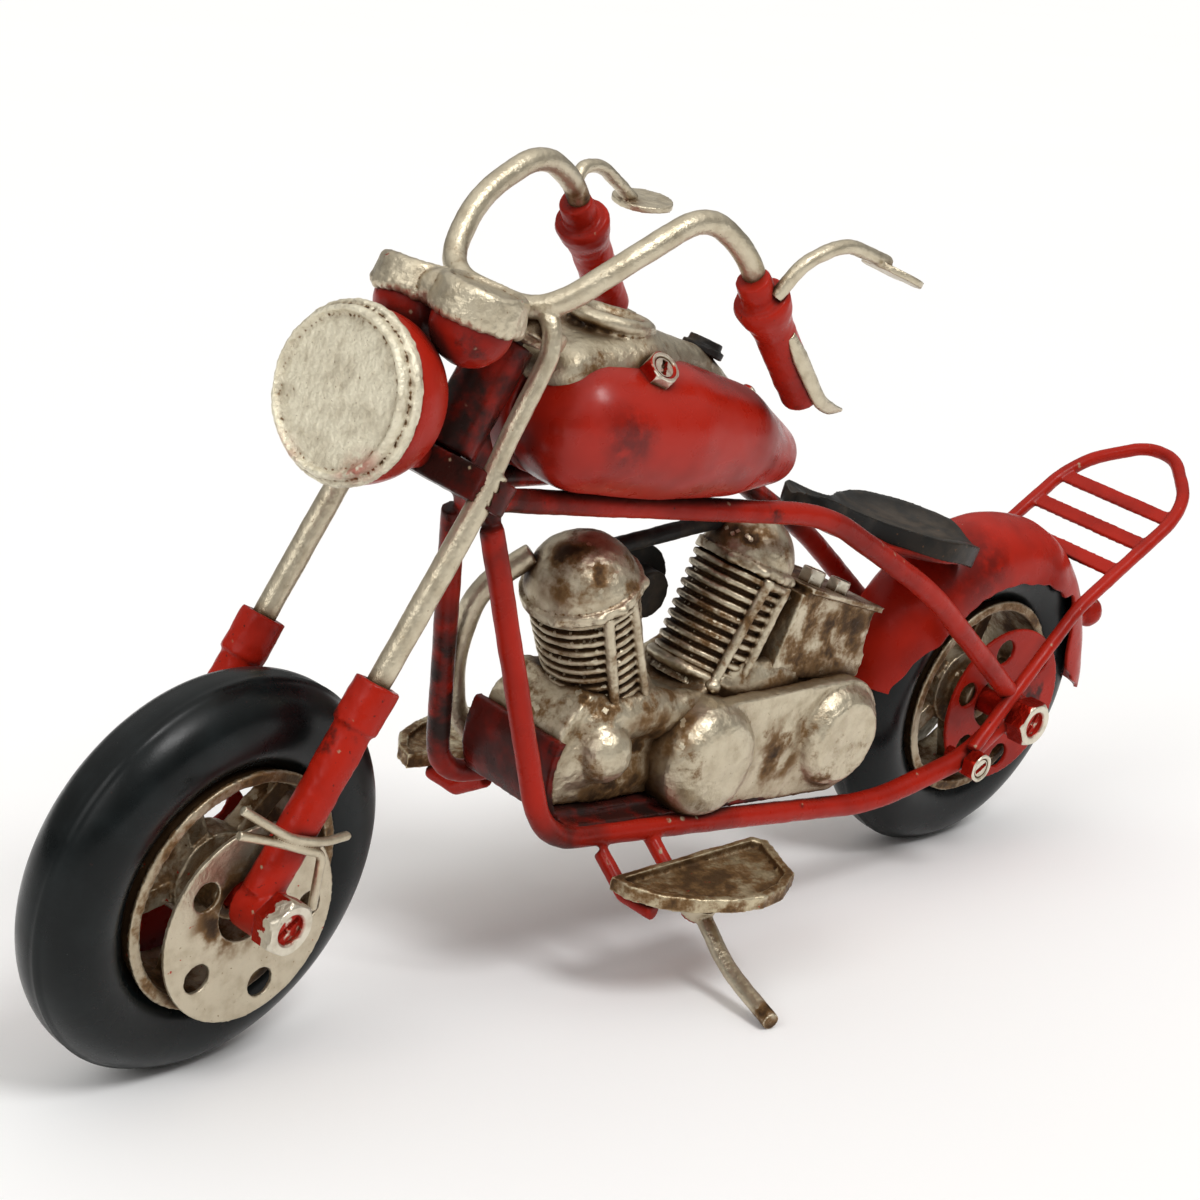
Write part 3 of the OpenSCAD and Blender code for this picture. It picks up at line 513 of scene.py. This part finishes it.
M_PLATE = silver_paint("plate_silver", brown=0.58, rough=0.05, red_specks=0.3, hollow=1.4, tone=rgb(0.60, 0.53, 0.40),
                       spots=((at(FRONT_AXLE, 0, 8.5, -2), 4, 11),), seed=18.0)
# A darker silver for the wheels: partly their own brown patina, partly painted shade inside the wheel.
M_WHEEL = silver_paint("wheel_silver", brown=0.38, rough=0.14, red_specks=0.3, hollow=3.5, tone=rgb(0.46, 0.39, 0.28),
                       seed=20.0)
M_BLACK = dark_metal("black_paint", seed=3.0)
M_SEAT = dark_metal("seat_paint", base=rgb(0.012, 0.012, 0.011), rubbed=rgb(0.13, 0.065, 0.03), roughness=(0.3, 0.45),
                    worn_at=(at(BIKE, 27, 2, 68), 5, 16), seed=5.0)
M_TYRE = rubber("tyre_rubber")


# ---- Frame ----

skin_nodes("main_frame", ["head_tube", "left_cradle_tube", "right_cradle_tube", "left_top_tube", "right_top_tube",
                          "footboard_bars", "stand_bracket"],
           "frame", M_FRAME, voxel=0.38, smooth=5, bumps=[lumps(5, 0.3)])
skin_nodes("rear_rack", ["rack_rod", "rack_slats"], "frame", M_RACK, voxel=0.3, smooth=3,
           bumps=[lumps(3, 0.2)])
skin_nodes("rear_lamp", ["tail_lamp"], "frame", M_LAMP, voxel=0.25, smooth=4, bumps=[lumps(2, 0.3)])


def fender_mesh():
    """A round-topped mudguard with wavy lower edges and a tail that kicks out."""
    edge_radius = ((12, 31), (23, 29), (38, 25), (60, 24.2), (100, 24.2), (132, 26), (138, 28.5), (150, 26),
                   (172, 23.6), (180, 26), (186, 31))
    ring_r, section_r, start, end = 25.5, 9.5, 11, 186
    rows, across = 150, 44
    verts, faces = [], []
    for i in range(rows + 1):
        degrees = start + (end - start) * i / rows
        angle = math.radians(degrees)
        for (a0, r0), (a1, r1) in zip(edge_radius, edge_radius[1:]):
            if a0 <= max(degrees, 12) <= a1:
                t = (max(degrees, 12) - a0) / (a1 - a0)
                t = t * t * (3 - 2 * t)
                low = r0 * (1 - t) + r1 * t
        kick = 2.4 * max(0.0, (degrees - 158) / 28) ** 1.5
        for j in range(across + 1):
            side = 2 * j / across - 1
            low_here = max(low, 24.0) + 0.5 * noise.noise(Vector((degrees / 7, 5 * (1 if side > 0 else -1), 0)))
            first = math.asin(max(-1, min(1, (max(low_here, ring_r) - ring_r) / section_r)))
            skirt = max(0.0, ring_r - low_here)
            arc = (math.pi / 2 - first) * section_r
            reach = abs(side) * (skirt + arc)
            if reach <= arc:
                phi = math.pi / 2 - reach / section_r
                y, r = section_r * math.cos(phi), ring_r + section_r * math.sin(phi)
            else:
                y, r = section_r, ring_r - (reach - arc)
            y *= math.copysign(1, side)
            dent = 0.25 * noise.noise(Vector((degrees / 9, y / 5, 3)))
            r += kick + dent
            verts.append((r * math.cos(angle), y, r * math.sin(angle)))
    for i in range(rows):
        for j in range(across):
            a = i * (across + 1) + j
            faces.append((a, a + 1, a + across + 2, a + across + 1))
    return mesh_of("rear_mudguard", verts, faces, REAR_AXLE)


def thickened(mesh, thickness, offset, levels=1):
    """The sheet given a thickness in millimetres, with rounded edges."""
    scratch = bpy.data.objects.new(mesh.name, mesh)
    bpy.context.scene.collection.objects.link(scratch)
    solid = scratch.modifiers.new("thick", "SOLIDIFY")
    solid.thickness = thickness * MM
    solid.offset = offset
    bevel = scratch.modifiers.new("bevel", "BEVEL")
    bevel.width = 0.25 * thickness * MM
    bevel.segments = 2
    bevel.limit_method = "ANGLE"
    if levels:
        scratch.modifiers.new("finer", "SUBSURF").levels = levels
    depsgraph = bpy.context.evaluated_depsgraph_get()
    result = bpy.data.meshes.new_from_object(scratch.evaluated_get(depsgraph))
    bpy.data.objects.remove(scratch)
    return result


add_object("rear_mudguard", thickened(fender_mesh(), 0.8, -1, 0), "frame", M_FENDER, ["rear_fender"])


# ---- Tank, console and seat ----

skin_nodes("left_tank", ["left_tank_half"], "frame", M_TANK, voxel=0.6, smooth=14, bumps=[lumps(14, 0.35)])
skin_nodes("right_tank", ["right_tank_half"], "frame", M_TANK, voxel=0.6, smooth=14, bumps=[lumps(14, 0.35)])
skin_nodes("console", ["tank_console"], "frame", M_CONSOLE, voxel=0.35, smooth=5,
           bumps=[lumps(6, 0.6), lumps(1.6, 0.16)])
skin_nodes("cap", ["filler_cap"], "frame", M_BLACK, voxel=0.22, smooth=2, bumps=[lumps(1.5, 0.2)])

SEAT = BIKE @ Matrix.Translation((28, 0, 66.2)) @ Matrix.Rotation(math.radians(-8), 4, "Y")


def seat_half_width(x):
    """Half the seat's width: a broad round rear that draws in to a narrow nose."""
    rear = 13.9 * max(0.0, 1 - abs(min(x, 0) / 13.8) ** 2.6) ** (1 / 2.6)
    if x <= 0:
        return rear
    t = min(x / 19, 1)
    t = t * t * (3 - 2 * t)
    width = 13.9 * (1 - t) + 6.2 * t
    if x > 19:
        width = 6.2 - 2.0 * (x - 19) / 16
    nose = math.sqrt(max(0.0, 1 - (max(x - 30, 0) / 5.3) ** 2))
    return width * nose


def seat_rim(x, y):
    """How high the seat's edge stands: it climbs to the nose and is bent down at the back on the left."""
    climb = 4.6 * (max(0.0, min((x - 4) / 27, 1)) ** 1.6)
    left = min(max(y / 9.9, 0.0), 1.0)
    drop = 1.8 * (max(0.0, 4 - x) / 13.7) ** 2 * left * left * (3 - 2 * left)
    return 4.5 + climb - drop


def seat_mesh():
    """A dished saddle with a thick rolled edge, deep at the back and thin at the nose."""
    rows, across = 70, 36
    verts, faces = [], []
    for i in range(rows + 1):
        t = i / rows
        x = -13.7 + 48.8 * (0.5 - 0.5 * math.cos(math.pi * t))
        half = max(seat_half_width(x), 0.3)
        depth = 4.4 * (1 - t) + 3.3 * t
        for j in range(across + 1):
            side = math.sin(math.pi * (j / across - 0.5))
            out = math.hypot(min(x, 0) / 13.8, side * half / 13.9) if x < 0 else abs(side)
            dish = 2.3 * max(0.0, 1 - (out / 0.88) ** 2) ** 0.8 * (1 - 0.6 * t)
            dent = 0.2 * noise.noise(Vector((x / 6, side * 2, 0)))
            verts.append((x, side * half, seat_rim(x, side * half) - dish + dent))
        for j in range(across + 1):
            side = math.sin(math.pi * (0.5 - j / across))
            dent = 0.2 * noise.noise(Vector((x / 4, side, 5)))
            verts.append((x, side * half * 0.96, seat_rim(x, side * half) - depth + dent))
    ring = 2 * (across + 1)
    for i in range(rows):
        for j in range(ring):
            a, b = i * ring + j, i * ring + (j + 1) % ring
            faces.append((a, b, b + ring, a + ring))
    faces.append(tuple(reversed(range(ring))))
    faces.append(tuple(range(rows * ring, (rows + 1) * ring)))
    return mesh_of("seat", verts, faces, SEAT)


add_object("seat", skinned("seat", [seat_mesh()], 0.3, 6, [lumps(7, 0.25)]), "frame", M_SEAT,
           ["seat_pad"])
skin_nodes("seat_base", ["seat_pan"], "frame", M_FENDER, voxel=0.35, smooth=2)


# ---- Engine ----

CASE_HALF = 9
CASE = [(117.5, 34), (119, 40), (118, 47), (112.5, 53), (98, 50), (88, 48), (74, 53.5), (63, 48), (46, 45), (42.5, 40),
        (43, 29), (62, 28.5)]
FRONT_BARREL = BIKE @ Matrix.Translation((102.7, 1, 49)) @ Matrix.Rotation(math.radians(22.8), 4, "Y")
REAR_BARREL = BIKE @ Matrix.Translation((78.9, 1, 49.5)) @ Matrix.Rotation(math.radians(-21.8), 4, "Y")
FIN_PITCH = 1.9


def barrel_meshes(space, radius, fins):
    """A barrel of rounded fins with narrow grooves, and the frame of its two pushrod tubes."""
    profile = [(-3, 0.01), (-3, radius)]
    for step in range(fins * 12 + 1):
        z = step * FIN_PITCH / 12
        groove = abs((z / FIN_PITCH) % 1 - 0.5) * 2
        profile.append((z, radius + 0.1 * z / FIN_PITCH + 0.4 - 1.5 * max(0.0, groove - 0.4) ** 1.1 * 1.7))
    top = fins * FIN_PITCH
    profile.append((top, 0.01))
    rods = [lathe(profile, space, steps=72)]
    for side in (-3.4, 3.4):
        rods.append(swept([(side, radius, -1.8), (side * 0.9, radius + 0.6, top / 2), (side * 0.8, radius + 1, top)],
                          [(0.9, 0.9), (0.95, 0.9)], space, side=(1, 0, 0)))
    rods.append(swept([(-3, radius + 0.9, top - 1), (0, radius + 1.2, top - 0.8), (3, radius + 0.9, top - 1)],
                      [(0.8, 0.9), (0.8, 0.9)], space, side=(0, 0, 1)))
    rods.append(blob((-3.4, radius + 0.2, -1.4), 1.6, space))
    rods.append(blob((3.4, radius + 0.2, -1.4), 1.5, space))
    return rods


case_parts = [
    prism(CASE, CASE_HALF, BIKE),
    blob((108.9, CASE_HALF + 0.9, 42.9), 5.2, BIKE), blob((111, CASE_HALF - 2, 41), 6.5, BIKE, (1, 0.6, 1)),
    blob((0, 0, -0.5), 9.4, FRONT_BARREL, (1, 1, 0.22)), blob((0, 0, -0.5), 9, REAR_BARREL, (1, 1, 0.25)),
    blob((102, 8, 47.5), 5.6, BIKE, (2.2, 0.7, 0.8)), blob((92, 8.4, 46), 4.4, BIKE, (2.2, 0.7, 0.9)),
    blob((70, 7.6, 47.5), 5, BIKE, (2.4, 0.6, 0.9)), blob((103, 8.6, 36), 4, BIKE, (3, 0.4, 0.9)),
]
engine_mesh = skinned("engine_case", case_parts, 0.4, 14, [lumps(7, 0.9), lumps(2, 0.4), lumps(1, 0.15)])
add_object("engine_case", engine_mesh, "frame", M_ENGINE, ["crankcase"])
for name, space, radius, fins, node in (("front_finned_barrel", FRONT_BARREL, 7.9, 11, "front_cylinder"),
                                        ("rear_finned_barrel", REAR_BARREL, 7.5, 10, "rear_cylinder")):
    mesh = skinned(name, barrel_meshes(space, radius, fins), 0.2, 1, [lumps(3, 0.4), lumps(1, 0.12)])
    add_object(name, mesh, "frame", M_ENGINE, [node])
for node, space, top, radius in (("front_dome", FRONT_BARREL, 20.9, 9.6), ("rear_dome", REAR_BARREL, 19, 8.2)):
    beads = [blob((radius * math.cos(a), radius * math.sin(a), top + 0.8), 1.5, space, (1, 1, 0.7))
             for a in (0.4, 1.1, 1.5, 2.3, 3.4, 4.6)]
    skin_nodes(f"{node}_cap", [node], "frame", M_DOME, voxel=0.28, smooth=4,
               bumps=[lumps(7, 0.6), lumps(1.5, 0.25)], extra=beads)
OIL_TANK_SIDE = [(44, 45.2), (69, 49), (64.5, 64.2), (43, 58), (44.4, 55.4), (43.4, 53.8), (45.2, 52.2), (43.2, 49.4)]
skin_nodes("oil_tank_box", ["oil_tank"], "frame", M_TIN, voxel=0.28, smooth=2,
           bumps=[lumps(5, 0.5), lumps(1.3, 0.2)], extra=[prism(OIL_TANK_SIDE, 9.7, BIKE)])


def drum(x, z, radius, face):
    """A round drum on the left of the engine, whose face is that far from the middle plane."""
    profile = [(CASE_HALF - 1, 0.01), (CASE_HALF - 1, radius + 0.9), (face - 3.4, radius + 0.5), (face - 1.6, radius - 0.5),
               (face - 0.5, radius - 1.8), (face, radius - 3.4), (face + 0.2, 0.01)]
    return lathe(profile, BIKE @ Matrix.Translation((x, 0, z)), "Y", 96, "drum")


cover_parts = [drum(85.4, 38.0, 9.8, 17), drum(51.4, 36.6, 9.6, 16.4),
               blob((68, CASE_HALF + 1.4, 38.6), 9.6, BIKE, (1.9, 0.36, 0.9))]
skin_nodes("drive_cover", ["primary_cover"], "frame", M_COVER, voxel=0.36, smooth=8,
           bumps=[lumps(8, 0.7), lumps(1.8, 0.3)], extra=cover_parts)
skin_nodes("carburettor_body", ["carburettor"], "frame", M_BLACK, voxel=0.3, smooth=3, bumps=[lumps(3, 0.3)])
skin_nodes("exhaust_pipe", ["exhaust"], "frame", M_ROD, voxel=0.35, smooth=4, bumps=[lumps(5, 0.2)])
BELLY_SHEET = [(117, 31.5), (117, 32.3), (90, 29.8), (64, 27.6), (64, 26.6), (90, 28.8)]
skin_nodes("belly_tray", ["engine_tray"], "frame", M_TRAY, voxel=0.3, smooth=3, bumps=[lumps(6, 0.4)],
           extra=[prism(BELLY_SHEET, 13.5, BIKE)])
for side in ("left", "right"):
    skin_nodes(f"{side}_board", [f"{side}_footboard"], "frame", M_BOARD, voxel=0.28, smooth=3,
               bumps=[lumps(4, 0.5), lumps(1.3, 0.3)])
skin_nodes("side_stand", ["kickstand"], "kickstand", M_ROD, voxel=0.22, smooth=3, bumps=[lumps(2.5, 0.2)])


# ---- Nuts and bolts ----

def nut_mesh(across_corners, height, bolt_r, space, slot_turn=0.0, sunk=0.9, name="nut"):
    """A chamfered hexagon nut along +Z, with the end of a slotted bolt sunk in it."""
    steps = 96
    flat = across_corners * math.cos(math.pi / 6)
    lip = 0.5 * (bolt_r + flat)
    levels = [(0, 9, None), (0.3, 9, None), (height - 1.2, 9, None), (height - 0.8, 9, across_corners + 0.02),
              (height - 0.45, 9, across_corners - 0.2), (height - 0.15, 9, flat + 0.12), (height, 9, flat - 0.1),
              (height, lip, None), (height - 0.1, bolt_r + 0.35, None), (height - 0.4, bolt_r + 0.05, None),
              (height - sunk, bolt_r, None), (height - sunk, bolt_r - 0.15, None)]
    levels += [(height - sunk, bolt_r * k / 8, "slot") for k in range(7, -1, -1)]
    verts, faces = [], []
    for z, round_r, cut in levels:
        for i in range(steps):
            angle = 2 * math.pi * i / steps
            hexagon = flat / math.cos((angle + math.pi / 6) % (math.pi / 3) - math.pi / 6)
            radius = hexagon if round_r == 9 else round_r
            if isinstance(cut, float) or isinstance(cut, int):
                radius = min(radius, cut)
            x, y = radius * math.cos(angle), radius * math.sin(angle)
            here = z
            if cut == "slot":
                turn = angle - slot_turn
                if abs(radius * math.sin(turn)) < 0.42:
                    here -= 0.7
            verts.append((x, y, here))
    for j in range(len(levels) - 1):
        for i in range(steps):
            a, b = j * steps + i, j * steps + (i + 1) % steps
            faces.append((a, b, b + steps, a + steps))
    return mesh_of(name, verts, faces, space)


def axle_meshes(space, nut_y, turn):
    """The bolt through a wheel and the nut at each end of it."""
    left = space @ Matrix.Translation((0, nut_y, 0)) @ Matrix.Rotation(-math.pi / 2, 4, "X") @ Matrix.Rotation(turn, 4, "Z")
    right = space @ Matrix.Translation((0, -nut_y, 0)) @ Matrix.Rotation(math.pi / 2, 4, "X") @ Matrix.Rotation(turn, 4, "Z")
    bolt = lathe([(-nut_y - 0.1, 0.01), (-nut_y - 0.1, 2.48), (nut_y + 0.1, 2.48), (nut_y + 0.1, 0.01)], space, "Y", 48)
    return [nut_mesh(4.6, 4, 2.4, left, 0.6), nut_mesh(4.6, 4, 2.4, right, 0.2), bolt]


def add_parts(name, meshes, body, material, stands_for=()):
    """Several meshes as one piece, with crisp edges kept."""
    mesh = joined(name, meshes)
    piece = add_object(name, mesh, body, material, stands_for)
    mesh.set_sharp_from_angle(angle=math.radians(32))
    return piece


add_parts("front_axle_set", axle_meshes(FRONT_AXLE, 15.8, math.radians(30)), "fork", M_FRONT_NUT, ["front_axle"])
add_parts("rear_axle_set", axle_meshes(REAR_AXLE, 17.2, math.radians(30)), "frame", M_NUT, ["rear_axle"])


def small_bolt(place, turn_x, turn_y, radius, height, slot_turn, bolt_r=None):
    space = BIKE @ Matrix.Translation(place) @ Matrix.Rotation(math.radians(turn_x), 4, "X") @ Matrix.Rotation(
        math.radians(turn_y), 4, "Y")
    return nut_mesh(radius, height, bolt_r or 0.55 * radius, space, slot_turn, 0.25)


frame_bolts = []
for side in (1, -1):
    frame_bolts.append(small_bolt((14.5, side * 18.6, 26.2), side * -90, 0, 3.1, 2.6, 0.5))
    frame_bolts.append(small_bolt((114.8, side * 9.6, 107), side * -42, 0, 3.0, 4.8, 0.9))
    post = BIKE @ Matrix.Translation((14.5, side * 13, 26.2)) @ Matrix.Rotation(side * -math.pi / 2, 4, "X")
    frame_bolts.append(lathe([(0, 0.01), (0, 1.2), (5.8, 1.2)], post, steps=32))
tank_nuts = [small_bolt((57.5, 5, 63.6), 0, -18, 2.4, 2.6, 0.2), small_bolt((51.5, 6.5, 61.6), 0, -18, 2.2, 2.4, 1.2)]
add_parts("oil_tank_nuts", tank_nuts, "frame", M_SMALL_NUT)
screw = BIKE @ Matrix.Translation((82.6, 0, 97.2)) @ Matrix.Rotation(math.radians(-70), 4, "Y")
frame_bolts.append(lathe([(0, 0.01), (0, 1.6), (4.4, 1.7), (4.9, 1.3), (5, 0.01)], screw, steps=32))
add_parts("small_bolts", frame_bolts, "frame", M_NUT, ["frame_bolts"])


# ---- Wheels ----

def tyre_mesh(space, name):
    """A round tyre with a moulding seam round the tread and a lip at each bead."""
    section, around, steps = [], 64, 180
    for k in range(around + 1):
        phi = math.radians(-148 + 296 * k / around)
        radius = 7.5 - 0.05 * abs(math.sin(3 * phi))
        seam = 0.3 * math.exp(-((math.degrees(phi) - 14) / 2.2) ** 2)
        section.append((25 + (radius + seam) * math.cos(phi), (radius + seam) * math.sin(phi)))
    section = [(19.1, section[0][1] + 0.5)] + section + [(19.1, section[-1][1] - 0.5)]
    profile = [(y, r) for r, y in section]
    return lathe(profile, space, "Y", steps, name)


for end, space in (("front", FRONT_AXLE), ("rear", REAR_AXLE)):
    add_object(f"{end}_tyre_round", tyre_mesh(space, f"{end}_tyre_round"), f"{end}_wheel", M_TYRE,
               [f"{end}_tyre"])
    skin_nodes(f"{end}_hub_and_rim", [f"{end}_wheel"], f"{end}_wheel", M_WHEEL, voxel=0.33, smooth=3,
               bumps=[lumps(3, 0.2)])
    carrier = "fork" if end == "front" else "frame"
    skin_nodes(f"{end}_loose_plate", [f"{end}_silver_disc"], carrier, M_PLATE, voxel=0.2, smooth=1)
    skin_nodes(f"{end}_red_plate", [f"{end}_red_disc"], carrier, M_PLATE_RED, voxel=0.2, smooth=1)


# ---- Fork ----

skin_nodes("yoke_and_stem", ["steering_stem"], "fork", M_HEAD, voxel=0.3, smooth=4, bumps=[lumps(3, 0.3)])
skin_nodes("bars", ["handlebar", "left_fork_tube", "right_fork_tube"], "fork", M_ROD,
           voxel=0.3, smooth=5, bumps=[lumps(4, 0.25)])
skin_nodes("top_saddle", ["upper_yoke"], "fork", M_LID, voxel=0.3, smooth=4, bumps=[lumps(3, 0.8)])
for side in ("left", "right"):
    skin_nodes(f"{side}_leg", [f"{side}_slider"], "fork", M_SLIDER, voxel=0.3, smooth=5,
               bumps=[lumps(3.5, 0.45), lumps(1.2, 0.12)])
skin_nodes("wires", ["brake_wires"], "fork", M_ROD, voxel=0.2, smooth=2)
skin_nodes("lamp_bowl", ["headlight_shell"], "fork", M_LAMP, voxel=0.35, smooth=5, bumps=[lumps(6, 0.3)])
HEADLIGHT = FORK @ Matrix.Translation((26, 0, 71.7)) @ Matrix.Rotation(math.radians(90 + 28 - 12), 4, "Y")
face_profile = [(-1, 0.01), (-1, 12.9), (-0.7, 13.3), (0.3, 13.5), (0.9, 13.3), (1.1, 12.8), (1.1, 12.5), (1.6, 12.5),
                (2.5, 12.4), (3.0, 12.0), (3.0, 11.7), (2.5, 11.3), (2.2, 11.0), (2.2, 0.01)]
face_mesh = skinned("lamp_face", [lathe(face_profile, HEADLIGHT, steps=128)], 0.2, 1, [lumps(5, 0.3), lumps(1.2, 0.5)])
add_object("lamp_face", face_mesh, "fork", M_FACE, ["headlight_face"])
skin_nodes("bowls", ["gauge_bowls"], "fork", M_GAUGE, voxel=0.3, smooth=4, bumps=[lumps(3, 0.35)])


def lid_trim(place, lean, tip):
    """The raised rim of a gauge lid, and the ragged solder that hangs from its edge."""
    space = FORK @ Matrix.Translation(place) @ Matrix.Rotation(math.radians(tip), 4, "Y") @ Matrix.Rotation(
        math.radians(lean), 4, "X")
    trim = [lathe([(3, 5.3), (3.8, 5.4), (4.1, 5.9), (3.8, 6.5), (3, 6.9), (3, 5.3)], space)]
    for k in range(28):
        angle = 2 * math.pi * k / 28
        drop = 0.5 + 0.7 * noise.noise(Vector((2.2 * math.cos(angle), 2.2 * math.sin(angle), place[1])))
        trim.append(blob((6.3 * math.cos(angle), 6.3 * math.sin(angle), -drop), 1.25, space))
    return trim


solder = lid_trim((18.4, 7, 91), -2, 16) + lid_trim((17, -5.5, 90.4), 5, 12) + [blob((20.9, 0.8, 91.2), 3, FORK)]
skin_nodes("lids", ["gauge_lids"], "fork", M_LID, voxel=0.28, smooth=3,
           bumps=[lumps(4, 0.6), lumps(1.3, 0.3)], extra=solder)

GRIP_TOP = Vector((-25.8, 18.9, 116.6))
GRIP_END = Vector((-49.3, 19.7, 108.7))
GRIP_PROFILE = [(-4.4, 2.2), (-4.3, 2.7), (-3, 2.9), (-0.6, 2.8), (0, 3.2), (0.2, 4.3), (1.2, 4.6), (3.2, 4.3), (5.2, 3.7),
                (7.5, 3.35), (16, 3.3), (24.2, 3.35), (24.7, 3.1), (24.8, 0.01)]


def along_line(start, end):
    """A space with its origin at start and +Z towards end."""
    return Matrix.Translation(start) @ (end - start).to_track_quat("Z", "Y").to_matrix().to_4x4()


for side, sign, splay in (("left", 1, 0.0), ("right", -1, 2.4)):
    top = Vector((GRIP_TOP.x, sign * GRIP_TOP.y, GRIP_TOP.z))
    end = Vector((GRIP_END.x, sign * (GRIP_END.y + splay), GRIP_END.z))
    grip = skinned(f"{side}_grip_sleeve", [lathe([(-4.4, 0.01)] + GRIP_PROFILE, FORK @ along_line(top, end))], 0.3, 2,
                   [lumps(3, 0.45)])
    add_object(f"{side}_grip_sleeve", grip, "fork", M_GRIP, [f"{side}_grip"])
    blade = swept([(-33.5, sign * 22.3, 114.4), (-38, sign * 22.9, 112.6), (-44, sign * (23.2 + splay / 2), 110.6),
                   (-49, sign * (23.3 + splay / 2), 109.2), (-53.5, sign * (22.9 + splay / 2), 109.4),
                   (-58.4, sign * (22 + splay / 2), 110.6)],
                  [(0.5, 0.9), (0.8, 1.5), (0.8, 1.4), (0.8, 1.3), (0.6, 1.1), (0.25, 0.35)], FORK)
    blade = skinned(f"{side}_lever_blade", [blade], 0.18, 2, [lumps(2, 0.15)])
    add_object(f"{side}_lever_blade", blade, "fork", M_LID, [f"{side}_lever"])
    skin_nodes(f"{side}_mirror_and_stalk", [f"{side}_mirror"], "fork", M_ROD, voxel=0.22, smooth=3,
               bumps=[lumps(2.5, 0.25)])


# ---- Studio ----

def plain_floor():
    shader = Shader("floor_white")
    tone = shader.mix(shader.noise(300, detail=2), rgb(0.95, 0.95, 0.95), rgb(0.97, 0.97, 0.97))
    return shader.finish(tone, 0.85)


floor = bpy.data.objects.new("floor", mesh_of("floor", [(-20000, -20000, 0), (20000, -20000, 0),
                                                        (20000, 20000, 0), (-20000, 20000, 0)], [(0, 1, 2, 3)], SCALE))
floor.data.materials.append(plain_floor())
bpy.context.scene.collection.objects.link(floor)

SKY_LOW, SKY_TOP = 0.14, 0.85


def soft_sky():
    """Even pale light that grows brighter overhead, as under one big soft box."""
    world = bpy.data.worlds.new("studio")
    world.use_nodes = True
    nodes, links = world.node_tree.nodes, world.node_tree.links
    height = nodes.new("ShaderNodeSeparateXYZ")
    links.new(nodes.new("ShaderNodeTexCoord").outputs["Generated"], height.inputs["Vector"])
    strength = nodes.new("ShaderNodeMapRange")
    strength.inputs["From Min"].default_value = 0.15
    strength.inputs["From Max"].default_value = 1.0
    strength.inputs["To Min"].default_value = SKY_LOW
    strength.inputs["To Max"].default_value = SKY_LOW + SKY_TOP
    links.new(height.outputs["Z"], strength.inputs["Value"])
    background = nodes["Background"]
    background.inputs["Color"].default_value = rgb(1.0, 0.98, 0.95)
    links.new(strength.outputs["Result"], background.inputs["Strength"])
    bpy.context.scene.world = world


soft_sky()


def big_lamp(name, towards, strength, spread):
    """A far soft lamp that shines evenly from a direction, spread degrees across."""
    light = bpy.data.lights.new(name, "SUN")
    light.energy = strength
    light.angle = math.radians(spread)
    lamp = bpy.data.objects.new(name, light)
    lamp.rotation_euler = Vector(towards).to_track_quat("Z", "Y").to_euler()
    bpy.context.scene.collection.objects.link(lamp)


big_lamp("key", (0.05, 0.75, 1.0), 1.3, 20)
big_lamp("front", (0.95, 0.2, 0.7), 0.6, 30)

camera_data = bpy.data.cameras.new("camera")
camera_data.sensor_width = 36
camera_data.lens = 81.88
camera_data.clip_start = 0.01
camera = bpy.data.objects.new("camera", camera_data)
heading, dip, roll = math.radians(-136.034), math.radians(14.709), math.radians(4.068)
camera.location = (0.33773, 0.30412, 0.17795)
camera.rotation_euler = (Matrix.Rotation(heading - math.pi / 2, 4, "Z") @ Matrix.Rotation(math.pi / 2 - dip, 4, "X")
                         @ Matrix.Rotation(roll, 4, "Z")).to_euler()
bpy.context.scene.collection.objects.link(camera)
bpy.context.scene.camera = camera
bpy.context.scene.view_settings.view_transform = "Standard"
